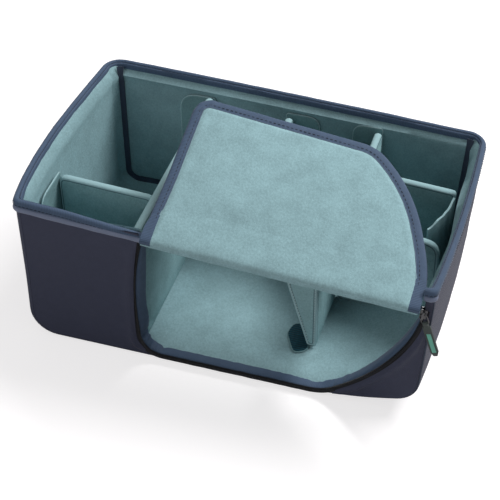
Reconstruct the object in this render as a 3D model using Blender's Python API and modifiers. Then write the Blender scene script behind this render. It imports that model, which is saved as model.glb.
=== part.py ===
"""Padded insert for a camera bag, with its side door folded open over the top.

Frame: metres, +Z up. The origin lies on the floor under the middle of the footprint,
+X runs along the length to the right end and +Y to the back. The door is hinged on the
front rim and is shown open, the zip pull hangs free, and the padded dividers stand
inside. Most places below are given in the bag's own plan frame, whose x runs from the
left end and whose y runs from the front face; to_world() moves them to the model frame.
"""

import math

import bmesh
import bpy
import numpy as np
from mathutils import Matrix, Vector

# Outer shape
BAG_LENGTH = 0.425
BAG_DEPTH = 0.263
RIM_FRONT_LEFT = 0.1807
RIM_FRONT_RIGHT = 0.1551
RIM_BACK_LEFT = 0.1770
RIM_BACK_RIGHT = 0.1610
LEFT_CORNER = 0.030
RIGHT_CORNER = 0.026
SWEEP_RUN = 0.153            # from the end of the flat base to the right end
SWEEP_RADIUS = 0.520
FRONT_EDGE = 0.0055
BACK_EDGE = 0.018
LEFT_BOW = 0.006
RIGHT_BOW = 0.0045
BACK_BOW = 0.002

# Layers of the wall, from outside to inside
FABRIC = 0.0010
PAD = 0.0070
LINING = 0.0010
SEW_GAP = 0.0003
WALL_DROP = 0.0024
FRONT_PAD_SIDE = 0.0060
TRAY_LEG = 0.0030

# Tape bound over the rim
RIM_TAPE = 0.0011
RIM_TAPE_EASE = 0.0004
RIM_OUTER_LEG = 0.0090
RIM_INNER_LEG = 0.0080
RIM_ROUND = 0.0014
RIM_SHARP = 0.0010
WELT_RADIUS = 0.0020
SEAM_TAPE = 0.0007
SEAM_TAPE_LEG = 0.0040

# Side door: outline seen square to the front face, u along the rim and v down from it
DOOR_LEFT = 0.140
DOOR_RIGHT_MARGIN = 0.011
DOOR_FOOT = 0.0114
DOOR_CORNER = 0.017
DOOR_SWEEP = 0.175
DOOR_FILLET = 0.045
DOOR_OPEN_ANGLE = math.radians(20)
HINGE_OUT = 0.0005
HINGE_TOP = 0.0010
HINGE_ZONE = 0.0110
DOOR_TAPE = 0.0008
DOOR_TAPE_LEG = 0.0090
DOOR_TAPE_EASE = 0.0003
DOOR_TAPE_RISE = 0.0005
STRIP_FOOT = 0.0113
STRIP_START = 0.0031
STRIP_LIP = 0.0007
STRIP_LIP_START = 0.0002
STRIP_RIGHT_MARGIN = 0.0017

# Zip
ZIP_GAP = 0.0046
COIL_RADIUS = 0.0006
COIL_OFF = 0.00145
COIL_DEPTH = 0.0007
ZIP_TAPE = 0.0008
ZIP_TAPE_WIDTH = 0.0026
ZIP_TAPE_DEPTH = 0.0011
ZIP_TOP = 0.0100
DOOR_ZIP_LEFT = 0.0120
DOOR_ZIP_RIGHT = 0.0240
JAMB_TAPE = 0.0010
JAMB_TOP = 0.0018
JAMB_START = 0.0016
MIN_STRIP = 0.0030

# Zip slider and pull
SLIDER_ANGLE = math.radians(4)
SLIDER_LENGTH = 0.0115
SLIDER_INNER = 0.0018
SLIDER_OUTER = 0.0048
SLIDER_LID = 0.0019
SLIDER_LID_TOP = 0.0032
SLIDER_POST = 0.0005
SLIDER_POST_LENGTH = 0.0060
SLIDER_SOLE = 0.0003
SLIDER_SOLE_DEPTH = 0.0010
SLIDER_SOLE_HALF = 0.0015
SLIDER_BEVEL = 0.0004
STAPLE_HALF = 0.0050
STAPLE_LEG = 0.0013
STAPLE_TOP = 0.0068
STAPLE_BAR = 0.0010
STAPLE_WIDTH = 0.0020
LINK_WIDTH = 0.0070
LINK_LENGTH = 0.0105
LINK_CORNER = 0.0020
LINK_WIRE = 0.0006
LINK_DEPTH = 0.0045
PULL_TILT = math.radians(18)
PULLER_WIDTH = 0.0080
PULLER_LENGTH = 0.0380
PULLER_THICK = 0.0026
PULLER_POINT = 0.0050
PULLER_NECK = 0.0050
PULLER_NECK_LENGTH = 0.0034
PULLER_SLEEVE = 0.0020
PULLER_BORE = 0.0010
PULLER_BEVEL = 0.0004
INLAY_WIDTH = 0.0042
INLAY_LENGTH = 0.0240
INLAY_TOP = 0.0090
INLAY_THICK = 0.0006
INLAY_GAP = 0.0003

# Padded dividers
DIVIDER = 0.0090
DIVIDER_BEVEL = 0.0016
TAB = 0.0024
TAB_BEVEL = 0.0005
TAB_GAP = 0.0006
JOIN_GAP = 0.0004
FLOOR_GAP = 0.0004
BACK_CHAMFER_RUN = 0.0125
BACK_CHAMFER_RISE = 0.0090

LEFT_LONG_SHARE = 0.28235     # of the bag's length, from the left end
LEFT_LONG_FRONT = 0.014
LEFT_LONG_DROP = 0.020
LEFT_LONG_TAB_WIDTH = 0.032
LEFT_LONG_TAB_FOOT = 0.072
LEFT_LONG_TAB_ROUND = 0.022

LEFT_CROSS_SHARE = 0.30798    # of the bag's depth, from the front
LEFT_CROSS_LEFT = 0.0099
LEFT_CROSS_DROP = 0.030
LEFT_CROSS_TAB_X = 0.0073
LEFT_CROSS_TAB_THICK = 0.0022
LEFT_CROSS_TAB_WIDTH = 0.042
LEFT_CROSS_TAB_FOOT = 0.062
LEFT_CROSS_TAB_ROUND = 0.018
INNER_TAB_WIDTH = 0.037
INNER_TAB_DROP = 0.034
INNER_TAB_FOOT = 0.070

LONG_CROSS_SHARE = 0.72243    # of the bag's depth, from the front
LONG_CROSS_LEFT_GAP = 0.0025
LONG_CROSS_RIGHT_MARGIN = 0.016
LONG_CROSS_DROP = 0.021
WING_FOOT = 0.058
WING_DROP = 0.026
WING_STEPS = np.array([[0, -0.0006], [-0.0018, -0.018], [-0.0045, -0.032], [-0.011, -0.043], [-0.018, -0.051]])

BACK_LEFT_SHARE = 0.48941     # of the bag's length, from the left end
BACK_LEFT_DROP = 0.020
BACK_LEFT_TAB_WIDTH = 0.037
BACK_LEFT_TAB_FOOT = 0.085
BACK_RIGHT_SHARE = 0.73294    # of the bag's length, from the left end
BACK_RIGHT_DROP = 0.020
BACK_RIGHT_TAB_WIDTH = 0.0325
BACK_RIGHT_TAB_FOOT = 0.080
BACK_TAB_ROUND = 0.014
BACK_TAB_DROP = 0.0135

RIGHT_CROSS_SHARE = 0.47529   # of the bag's depth, from the front
RIGHT_CROSS_LEFT_GAP = 0.0025
RIGHT_CROSS_RIGHT_MARGIN = 0.018
RIGHT_CROSS_DROP = 0.037
RIGHT_CROSS_ROUND = 0.014

FRONT_DIVIDER_SHARE = 0.68471 # of the bag's length, from the left end
FRONT_DIVIDER_FRONT = 0.052
FRONT_DIVIDER_BACK_GAP = 0.0015
FRONT_DIVIDER_TOP = 0.118
FRONT_DIVIDER_SHIFT = 0.002
END_TAB_LOW = 0.0135
END_TAB_HIGH = 0.108
END_TAB_BEND = 0.092
END_TAB_FOOT_LEFT = 0.0045
END_TAB_BEND_LEFT = 0.0145
END_TAB_TOP_LEFT = 0.011
END_TAB_RIGHT = 0.0085
FLOOR_TAB_STEPS = np.array([
    [-0.025, 0.005], [-0.019, 0.021], [-0.0008, 0.005], [-0.003, -0.0095], [-0.012, -0.013],
])

# Numbers of steps
ARC_STEPS = 5
FLAT_STEPS = 5
SWEEP_STEPS = 4
SIDE_STEPS = 7
EDGE_STEPS = 4
CURVE_STEPS = 5
SWING_STEPS = 12
ROUND_STEPS = 3
SEARCH_STEPS = 400

# Values that follow from the ones above
FLAT_END = BAG_LENGTH - SWEEP_RUN
DOOR_RIGHT = BAG_LENGTH - DOOR_RIGHT_MARGIN
STRIP_RIGHT = DOOR_RIGHT - STRIP_RIGHT_MARGIN
PAD_START = FABRIC + SEW_GAP
LINING_START = PAD_START + PAD + SEW_GAP
WALL = LINING_START + LINING
LINING_SIDE = WALL + SEW_GAP
SWEEP_ANGLE = math.asin((BAG_LENGTH - RIGHT_CORNER - FLAT_END) / (SWEEP_RADIUS - RIGHT_CORNER))
RIGHT_CENTRE_X = BAG_LENGTH - RIGHT_CORNER
RIGHT_CENTRE_Z = SWEEP_RADIUS - (SWEEP_RADIUS - RIGHT_CORNER) * math.cos(SWEEP_ANGLE)
RIM_SLOPE = math.atan2(RIM_FRONT_LEFT - RIM_FRONT_RIGHT, BAG_LENGTH)
ALONG_RIM = np.array([math.cos(RIM_SLOPE), 0, -math.sin(RIM_SLOPE)])
DOWN_FRONT = np.array([-math.sin(RIM_SLOPE), 0, -math.cos(RIM_SLOPE)])
RIM_UP = -DOWN_FRONT
INTO_BAG = np.array([0, 1, 0])
FRONT_RIM = np.array([-BAG_LENGTH / 2, -BAG_DEPTH / 2, RIM_FRONT_LEFT])
HINGE_POINT = FRONT_RIM - HINGE_OUT * INTO_BAG
DOOR_DOWN = math.cos(DOOR_OPEN_ANGLE) * INTO_BAG + math.sin(DOOR_OPEN_ANGLE) * RIM_UP
DOOR_IN = -math.sin(DOOR_OPEN_ANGLE) * INTO_BAG + math.cos(DOOR_OPEN_ANGLE) * RIM_UP
OPENING_SIDE = ZIP_GAP + SEW_GAP
PAD_SIDE = OPENING_SIDE + JAMB_TAPE + SEW_GAP
SWEEP_CENTRE_U = DOOR_RIGHT - DOOR_SWEEP
LEFT_LONG_X = LEFT_LONG_SHARE * BAG_LENGTH
LEFT_LONG_TAB_X = LEFT_LONG_X - LEFT_LONG_TAB_WIDTH
LEFT_CROSS_Y = LEFT_CROSS_SHARE * BAG_DEPTH
LONG_CROSS_Y = LONG_CROSS_SHARE * BAG_DEPTH
LONG_CROSS_LEFT = LEFT_LONG_X + DIVIDER + LONG_CROSS_LEFT_GAP
LONG_CROSS_RIGHT = BAG_LENGTH - LONG_CROSS_RIGHT_MARGIN
WING_PATH = np.array([LONG_CROSS_RIGHT, LONG_CROSS_Y]) + WING_STEPS
BACK_LEFT_X = BACK_LEFT_SHARE * BAG_LENGTH
BACK_RIGHT_X = BACK_RIGHT_SHARE * BAG_LENGTH
RIGHT_CROSS_Y = RIGHT_CROSS_SHARE * BAG_DEPTH
FRONT_DIVIDER_X = FRONT_DIVIDER_SHARE * BAG_LENGTH
FRONT_DIVIDER_BACK = LONG_CROSS_Y - FRONT_DIVIDER_BACK_GAP
RIGHT_CROSS_LEFT = FRONT_DIVIDER_X + DIVIDER + RIGHT_CROSS_LEFT_GAP
RIGHT_CROSS_RIGHT = BAG_LENGTH - RIGHT_CROSS_RIGHT_MARGIN

# Colours as linear red, green, blue, with roughness and metallic
FINISHES = {
    "shell_fabric": ((0.030, 0.033, 0.050), 0.75, 0),
    "binding_tape": ((0.085, 0.115, 0.185), 0.70, 0),
    "lining_loop": ((0.165, 0.275, 0.290), 0.90, 0),
    "foam": ((0.060, 0.065, 0.070), 0.95, 0),
    "seam_tape": ((0.009, 0.012, 0.022), 0.80, 0),
    "zip_tape": ((0.010, 0.011, 0.014), 0.80, 0),
    "zip_coil": ((0.012, 0.013, 0.016), 0.45, 0),
    "welt": ((0.085, 0.080, 0.125), 0.75, 0),
    "divider_loop": ((0.125, 0.225, 0.235), 0.90, 0),
    "tab_hook": ((0.012, 0.055, 0.070), 0.85, 0),
    "slider_metal": ((0.140, 0.145, 0.150), 0.38, 1),
    "puller_rubber": ((0.040, 0.055, 0.052), 0.60, 0),
    "puller_teal": ((0.130, 0.420, 0.300), 0.55, 0),
}


def clear_scene():
    """Take every object out of the scene."""
    for obj in list(bpy.data.objects):
        bpy.data.objects.remove(obj, do_unlink=True)


def make_collection(name, hidden=False):
    """Make a collection in the scene; a hidden one holds cutters."""
    collection = bpy.data.collections.new(name)
    bpy.context.scene.collection.children.link(collection)
    collection.hide_render = hidden
    return collection


def make_material(name):
    """Make a plain material from the finish table."""
    colour, roughness, metallic = FINISHES[name]
    material = bpy.data.materials.new(name)
    material.use_nodes = True
    shader = material.node_tree.nodes["Principled BSDF"]
    shader.inputs["Base Color"].default_value = (*colour, 1)
    shader.inputs["Roughness"].default_value = roughness
    shader.inputs["Metallic"].default_value = metallic
    return material


def to_world(points):
    """Move points of the bag's plan frame to the model frame, with the walls' soft bow."""
    x, y, z = np.moveaxis(np.asarray(points, dtype=float), -1, 0)
    x = x - BAG_LENGTH / 2
    y = y - BAG_DEPTH / 2
    side_bow = np.where(x < 0, LEFT_BOW, RIGHT_BOW) * (1 - (2 * y / BAG_DEPTH) ** 2)
    back_bow = np.where(y > 0, BACK_BOW, 0) * (1 - (2 * x / BAG_LENGTH) ** 2)
    wide = x * (1 + side_bow / (BAG_LENGTH / 2))
    deep = y * (1 + back_bow / (BAG_DEPTH / 2))
    return np.stack([wide, deep, z], axis=-1)


def plain_world(points):
    """Move points of the bag's plan frame to the model frame without any bow."""
    return np.asarray(points, dtype=float) - np.array([BAG_LENGTH / 2, BAG_DEPTH / 2, 0])


def front_world(uv, depth):
    """Place outline points u, v on the front face, at a depth behind it."""
    u, v = np.moveaxis(np.asarray(uv, dtype=float), -1, 0)
    depth = np.broadcast_to(depth, u.shape)
    return FRONT_RIM + u[..., None] * ALONG_RIM + v[..., None] * DOWN_FRONT + depth[..., None] * INTO_BAG


def door_world(uv, level):
    """Place outline points u, v on the open door, at a level in from its outer face."""
    u, v = np.moveaxis(np.asarray(uv, dtype=float), -1, 0)
    level = np.broadcast_to(level, u.shape)
    rise = level[..., None] + HINGE_OUT
    return HINGE_POINT + u[..., None] * ALONG_RIM + v[..., None] * DOOR_DOWN + rise * DOOR_IN


def rim_height(x, y):
    """Height of the rim at plan place x, y, straight between its four corners."""
    front = RIM_FRONT_LEFT + (RIM_FRONT_RIGHT - RIM_FRONT_LEFT) * x / BAG_LENGTH
    back = RIM_BACK_LEFT + (RIM_BACK_RIGHT - RIM_BACK_LEFT) * x / BAG_LENGTH
    return front + (back - front) * y / BAG_DEPTH


def lower_curve(inset):
    """Base line at an inset from the outer face: left corner, flat, sweep, right corner."""
    left = np.linspace(math.pi, 1.5 * math.pi, ARC_STEPS + 1)
    flat = np.linspace(LEFT_CORNER, FLAT_END, FLAT_STEPS + 1)[1:]
    sweep = np.linspace(0, SWEEP_ANGLE, SWEEP_STEPS + 1)[1:]
    right = np.linspace(SWEEP_ANGLE, math.pi / 2, ARC_STEPS + 1)[1:]
    left_radius = LEFT_CORNER - inset
    sweep_radius = SWEEP_RADIUS - inset
    right_radius = RIGHT_CORNER - inset
    x = np.concatenate([
        LEFT_CORNER + left_radius * np.cos(left),
        flat,
        FLAT_END + sweep_radius * np.sin(sweep),
        RIGHT_CENTRE_X + right_radius * np.sin(right),
    ])
    z = np.concatenate([
        LEFT_CORNER + left_radius * np.sin(left),
        np.full(flat.shape, inset),
        SWEEP_RADIUS - sweep_radius * np.cos(sweep),
        RIGHT_CENTRE_Z - right_radius * np.cos(right),
    ])
    return np.stack([x, z], axis=-1)


def whole_curve(inset, y, drop):
    """Base line with both upright ends, up to a drop below the rim."""
    low = lower_curve(inset)
    left = [inset, rim_height(inset, y) - drop]
    right = [BAG_LENGTH - inset, rim_height(BAG_LENGTH - inset, y) - drop]
    return np.vstack([left, low, right])


def floor_height(x, inset):
    """Height of the base line at an inset, at one place along the bag."""
    curve = lower_curve(inset)
    return float(np.interp(x, curve[:, 0], curve[:, 1]))


def floor_points(left, right, inset):
    """Points of the base line at an inset between two places along the bag."""
    curve = lower_curve(inset)
    middle = curve[(curve[:, 0] > left) & (curve[:, 0] < right)]
    ends = [[left, floor_height(left, inset)], [right, floor_height(right, inset)]]
    return np.vstack([ends[0], middle, ends[1]])


def arc(centre, radius, start, stop, steps):
    """Points of a flat arc between two angles."""
    angle = np.linspace(start, stop, steps + 1)
    return np.stack([centre[0] + radius * np.cos(angle), centre[1] + radius * np.sin(angle)], axis=-1)


def door_centres():
    """Centres of the door's lower left corner and of the fillet at its foot."""
    normal = np.array([math.sin(RIM_SLOPE), math.cos(RIM_SLOPE)])
    along = np.array([math.cos(RIM_SLOPE), -math.sin(RIM_SLOPE)])
    reach = RIM_FRONT_LEFT - DOOR_FOOT
    corner_u = DOOR_LEFT + DOOR_CORNER
    corner = np.array([corner_u, (reach - DOOR_CORNER - corner_u * normal[0]) / normal[1]])
    low = reach - DOOR_FILLET - SWEEP_CENTRE_U * normal[0]
    side = math.sqrt((DOOR_SWEEP - DOOR_FILLET) ** 2 - low ** 2)
    fillet = np.array([SWEEP_CENTRE_U, 0]) + side * along + low * normal
    return corner, fillet


def door_curve(offset, left_top, right_top):
    """Door outline moved out by an offset: down the left side, along the foot and up the sweep."""
    corner, fillet = door_centres()
    down = math.pi / 2 - RIM_SLOPE
    turn = math.atan2(fillet[1], fillet[0] - SWEEP_CENTRE_U)
    last = math.asin(right_top / (DOOR_SWEEP + offset))
    return np.vstack([
        [[DOOR_LEFT - offset, left_top]],
        arc(corner, DOOR_CORNER + offset, math.pi, down, CURVE_STEPS),
        arc(fillet, DOOR_FILLET + offset, down, turn, CURVE_STEPS),
        arc((SWEEP_CENTRE_U, 0), DOOR_SWEEP + offset, turn, last, SWING_STEPS)[1:],
    ])


def plate_mesh(outline, far):
    """Closed plate: a flat outline joined to its moved copy."""
    mesh_builder = bmesh.new()
    near_verts = [mesh_builder.verts.new(point) for point in outline]
    face = mesh_builder.faces.new(near_verts)
    result = bmesh.ops.extrude_face_region(mesh_builder, geom=[face])
    moved = [item for item in result["geom"] if isinstance(item, bmesh.types.BMVert)]
    bmesh.ops.translate(mesh_builder, verts=moved, vec=Vector(far))
    bmesh.ops.recalc_face_normals(mesh_builder, faces=mesh_builder.faces)
    mesh = bpy.data.meshes.new("plate")
    mesh_builder.to_mesh(mesh)
    mesh_builder.free()
    return mesh


def grid_mesh(points):
    """Grid of quads through an array of points, rows by columns."""
    rows, columns = points.shape[:2]
    mesh_builder = bmesh.new()
    bmesh.ops.create_grid(mesh_builder, x_segments=columns - 1, y_segments=rows - 1, size=BAG_LENGTH)
    for vert, point in zip(mesh_builder.verts, points.reshape(-1, 3)):
        vert.co = point
    mesh = bpy.data.meshes.new("grid")
    mesh_builder.to_mesh(mesh)
    mesh_builder.free()
    return mesh


class Builder:
    """Makes the named pieces in one collection, with shared materials."""

    def __init__(self):
        self.parts = make_collection("camera_bag_insert")
        self.cutters = make_collection("cutters", hidden=True)
        self.materials = {name: make_material(name) for name in FINISHES}

    def add(self, name, mesh, finish, origin=(0, 0, 0)):
        """Add a mesh given in world places as a named piece with its origin at a joint."""
        mesh.transform(Matrix.Translation(-Vector(origin)))
        mesh.name = name
        obj = bpy.data.objects.new(name, mesh)
        obj.location = origin
        obj.data.materials.clear()
        obj.data.materials.append(self.materials[finish])
        self.parts.objects.link(obj)
        return obj

    def sheet(self, name, points, thickness, side, finish, origin=(0, 0, 0)):
        """Add a sheet: a grid thickened to one side of its faces."""
        obj = self.add(name, grid_mesh(points), finish, origin)
        shell = obj.modifiers.new("thickness", "SOLIDIFY")
        shell.thickness = thickness
        shell.offset = side
        shell.use_even_offset = True
        return obj

    def plate(self, name, outline, far, finish, bevel=0, origin=(0, 0, 0)):
        """Add a flat plate, with its edges eased where a bevel is given."""
        obj = self.add(name, plate_mesh(outline, far), finish, origin)
        if bevel:
            ease_edges(obj, bevel)
        return obj


def ease_edges(obj, width, segments=1):
    """Round the sharp edges of a piece."""
    bevel = obj.modifiers.new("eased edges", "BEVEL")
    bevel.width = width
    bevel.segments = segments
    bevel.limit_method = "ANGLE"
    bevel.angle_limit = math.radians(40)


def boolean(obj, other, operation):
    """Join or cut a piece with another object."""
    modifier = obj.modifiers.new(operation.lower(), "BOOLEAN")
    modifier.operation = operation
    modifier.solver = "EXACT"
    modifier.object = other
    other.display_type = "WIRE"
    other.hide_render = True
    return modifier


def curve_mesh(splines, bevel_depth=0, extrude=0, cyclic=False):
    """Mesh of a curve: a round wire in space, or a flat filled shape with thickness."""
    curve = bpy.data.curves.new("path", "CURVE")
    curve.dimensions = "2D" if extrude else "3D"
    curve.bevel_depth = bevel_depth
    curve.bevel_resolution = 1
    curve.extrude = extrude
    curve.use_fill_caps = not extrude
    curve.fill_mode = "BOTH" if extrude else "FULL"
    for points in splines:
        spline = curve.splines.new("POLY")
        spline.points.add(len(points) - 1)
        for place, point in zip(spline.points, points):
            place.co = (*point, 1)
        spline.use_cyclic_u = cyclic
    holder = bpy.data.objects.new("path", curve)
    bpy.context.scene.collection.objects.link(holder)
    bpy.context.view_layer.update()
    mesh = bpy.data.meshes.new_from_object(holder.evaluated_get(bpy.context.evaluated_depsgraph_get()))
    bpy.data.objects.remove(holder, do_unlink=True)
    bpy.data.curves.remove(curve)
    mesh_builder = bmesh.new()
    mesh_builder.from_mesh(mesh)
    bmesh.ops.remove_doubles(mesh_builder, verts=mesh_builder.verts, dist=1e-6)
    bmesh.ops.recalc_face_normals(mesh_builder, faces=mesh_builder.faces)
    mesh_builder.to_mesh(mesh)
    mesh_builder.free()
    return mesh


def gusset_points():
    """Band of the ends and base: its front edge rolls to the front face, its back edge to the back."""
    front = np.linspace(0, math.pi / 2, EDGE_STEPS + 1)
    middle = np.linspace(FRONT_EDGE, BAG_DEPTH - BACK_EDGE, SIDE_STEPS + 1)[1:-1]
    back = np.linspace(0, math.pi / 2, EDGE_STEPS + 1)
    inset = np.concatenate([
        FRONT_EDGE * (1 - np.sin(front)),
        np.zeros(middle.shape),
        BACK_EDGE * (1 - np.cos(back)),
    ])
    y = np.concatenate([
        FRONT_EDGE * (1 - np.cos(front)),
        middle,
        BAG_DEPTH - BACK_EDGE * (1 - np.sin(back)),
    ])
    rows = []
    for inset_here, y_here in zip(inset, y):
        curve = whole_curve(inset_here, y_here, WALL_DROP)
        rows.append(np.stack([curve[:, 0], np.full(len(curve), y_here), curve[:, 1]], axis=-1))
    return np.array(rows)


def tray_points(inset):
    """Base layer at an inset, from behind the front wall to the back corner, with short upright ends."""
    low = lower_curve(inset)
    curve = np.vstack([low[0] + [0, TRAY_LEG], low, low[-1] + [0, TRAY_LEG]])
    y = np.linspace(LINING_SIDE, BAG_DEPTH - BACK_EDGE, SIDE_STEPS + 1)
    return np.array([np.stack([curve[:, 0], np.full(len(curve), here), curve[:, 1]], axis=-1) for here in y])


def end_points(inset, right):
    """Upright layer of one end at an inset, above the rounded corner."""
    y = np.linspace(LINING_SIDE, BAG_DEPTH - BACK_EDGE, SIDE_STEPS + 1)
    x = BAG_LENGTH - inset if right else inset
    foot = (RIGHT_CENTRE_Z if right else LEFT_CORNER) + TRAY_LEG + SEW_GAP
    high = np.stack([np.full(y.shape, x), y, rim_height(x, y) - WALL_DROP], axis=-1)
    low = np.stack([np.full(y.shape, x), y, np.full(y.shape, foot)], axis=-1)
    return np.stack([low, high] if right else [high, low], axis=1)


def back_points(inset, depth):
    """Layer of the back wall at a depth, inside an outline inset."""
    low = lower_curve(inset)
    y = BAG_DEPTH - depth
    foot = np.stack([low[:, 0], np.full(len(low), y), low[:, 1]], axis=-1)
    head = foot.copy()
    head[:, 2] = rim_height(low[:, 0], y) - WALL_DROP
    return np.array([foot, head])


def make_walls(build):
    """Ends, base and back: outer fabric, foam and lining."""
    build.sheet("gusset", to_world(gusset_points()), FABRIC, 1, "shell_fabric")
    build.sheet("base_pad", to_world(tray_points(PAD_START)), PAD, 1, "foam")
    build.sheet("base_lining", to_world(tray_points(LINING_START)), LINING, 1, "lining_loop")
    for name, right in (("left", False), ("right", True)):
        build.sheet(name + "_pad", to_world(end_points(PAD_START, right)), PAD, 1, "foam")
        build.sheet(name + "_lining", to_world(end_points(LINING_START, right)), LINING, 1, "lining_loop")
    panel_side = BACK_EDGE + SEW_GAP
    build.sheet("back_panel", to_world(back_points(panel_side, 0)), FABRIC, 1, "shell_fabric")
    build.sheet("back_pad", to_world(back_points(BACK_EDGE, PAD_START)), PAD, 1, "foam")
    build.sheet("back_lining", to_world(back_points(BACK_EDGE, LINING_START)), LINING, 1, "lining_loop")


def make_back_seam_tape(build):
    """Dark tape over the inner seam between the ends, the base and the back."""
    near = WALL + SEW_GAP
    section = [
        (near, BAG_DEPTH - BACK_EDGE - SEAM_TAPE_LEG),
        (near, BAG_DEPTH - BACK_EDGE),
        (BACK_EDGE, BAG_DEPTH - near),
        (BACK_EDGE + SEAM_TAPE_LEG, BAG_DEPTH - near),
    ]
    drop = RIM_INNER_LEG + SEAM_TAPE
    rows = []
    for inset, y in section:
        curve = whole_curve(inset, y, drop)
        rows.append(np.stack([curve[:, 0], np.full(len(curve), y), curve[:, 1]], axis=-1))
    build.sheet("back_seam_tape", to_world(np.array(rows)), SEAM_TAPE, 1, "seam_tape")


def to_front(curve):
    """Outline points u, v as x, z of the bag's plan frame."""
    places = front_world(curve, 0)
    return np.stack([places[:, 0] + BAG_LENGTH / 2, places[:, 2]], axis=-1)


def front_left_outline(inset, offset):
    """Front wall left of the door, down to where the strip under the door gets narrow."""
    low = lower_curve(inset)[:ARC_STEPS + 1]
    corner, _ = door_centres()
    radius = DOOR_CORNER + offset
    rise = inset + MIN_STRIP - (DOOR_FOOT - offset)
    stop = math.pi / 2 - RIM_SLOPE + math.acos(1 - rise / radius)
    edge = np.vstack([[[DOOR_LEFT - offset, WALL_DROP]], arc(corner, radius, math.pi, stop, CURVE_STEPS)])
    edge = to_front(edge)[::-1]
    head = [[inset, rim_height(inset, 0) - WALL_DROP]]
    foot = [[edge[0, 0], inset]]
    return np.vstack([head, low, foot, edge])


def front_right_outline(inset, offset):
    """Front wall right of the door, between the door's sweep and the rounded corner."""
    curve = to_front(door_curve(offset, WALL_DROP, JAMB_TOP))
    step = np.linspace(0, len(curve) - 1, SEARCH_STEPS)
    fine = np.stack([np.interp(step, np.arange(len(curve)), curve[:, axis]) for axis in (0, 1)], axis=-1)
    low = lower_curve(inset)
    foot = np.interp(fine[:, 0], low[:, 0], low[:, 1])
    wide = (fine[:, 1] - foot > MIN_STRIP) & (BAG_LENGTH - inset - fine[:, 0] > MIN_STRIP)
    wide &= fine[:, 0] > FLAT_END
    kept = fine[wide]
    edge = kept[np.linspace(0, len(kept) - 1, SWING_STEPS).astype(int)]
    base = floor_points(edge[0, 0], BAG_LENGTH - inset, inset)
    head = [[BAG_LENGTH - inset, edge[-1, 1]]]
    return np.vstack([base, head, edge[::-1][:-1]])


def make_front(build):
    """Front walls on both sides of the door opening."""
    layers = (
        ("panel", FRONT_EDGE + SEW_GAP, ZIP_GAP, 0, FABRIC, "shell_fabric"),
        ("pad", FRONT_PAD_SIDE, PAD_SIDE, PAD_START, PAD, "foam"),
        ("lining", LINING_SIDE, PAD_SIDE, LINING_START, LINING, "lining_loop"),
    )
    for side, outline in (("front_left_", front_left_outline), ("front_right_", front_right_outline)):
        for layer, inset, offset, depth, thickness, finish in layers:
            flat = outline(inset, offset)
            points = np.stack([flat[:, 0], np.full(len(flat), depth), flat[:, 1]], axis=-1)
            build.plate(side + layer, plain_world(points), (0, thickness, 0), finish)


def ring_plan(depth):
    """Plan line at a depth from the outer face: front left, left end, back, right end."""
    front_round = max(FRONT_EDGE - depth, RIM_SHARP)
    back_round = max(BACK_EDGE - depth, RIM_SHARP)
    near = depth + front_round
    far = BAG_DEPTH - depth - back_round
    left = depth + back_round
    right = BAG_LENGTH - left
    start = DOOR_LEFT - ZIP_GAP - MIN_STRIP
    pi = math.pi
    front_x = np.linspace(start, near, EDGE_STEPS + 1)
    side_y = np.linspace(near, far, SIDE_STEPS + 1)
    back_x = np.linspace(left, right, SIDE_STEPS + 1)
    return np.vstack([
        np.stack([front_x, np.full(front_x.shape, depth)], axis=-1)[:-1],
        arc((near, near), front_round, 1.5 * pi, pi, EDGE_STEPS)[:-1],
        np.stack([np.full(side_y.shape, depth), side_y], axis=-1)[:-1],
        arc((left, far), back_round, pi, pi / 2, EDGE_STEPS)[:-1],
        np.stack([back_x, np.full(back_x.shape, BAG_DEPTH - depth)], axis=-1)[:-1],
        arc((right, far), back_round, pi / 2, 0, EDGE_STEPS)[:-1],
        np.stack([np.full(side_y.shape, BAG_LENGTH - depth), side_y[::-1]], axis=-1)[:-1],
        arc((BAG_LENGTH - near, near), front_round, 0, -pi / 2, EDGE_STEPS),
    ])


def make_rim_binding(build):
    """Tape bound over the wall tops, from the door's left side round to its right side."""
    outside = -(RIM_TAPE + RIM_TAPE_EASE)
    inside = WALL + RIM_TAPE_EASE + RIM_TAPE
    section = (
        (outside, -RIM_OUTER_LEG),
        (outside, -RIM_ROUND),
        (outside + RIM_ROUND, 0),
        (inside - RIM_ROUND, 0),
        (inside, -RIM_ROUND),
        (inside, -RIM_INNER_LEG),
    )
    columns = []
    for depth, height in section:
        plan = ring_plan(depth)
        level = rim_height(plan[:, 0], plan[:, 1]) + height
        columns.append(np.column_stack([plan, level]))
    points = np.stack(columns, axis=1)
    build.sheet("rim_binding", to_world(points), RIM_TAPE, -1, "binding_tape")


def make_front_hem_welt(build):
    """Soft roll just under the binding on the front left wall."""
    depth = -(WELT_RADIUS + SEW_GAP)
    drop = RIM_OUTER_LEG + WELT_RADIUS + SEW_GAP
    ends = [[FRONT_EDGE + SEW_GAP, drop], [DOOR_LEFT - ZIP_GAP - ZIP_TAPE_WIDTH - 2 * SEW_GAP, drop]]
    build.add("front_hem_welt", curve_mesh([front_world(ends, depth)], bevel_depth=WELT_RADIUS), "welt")


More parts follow.
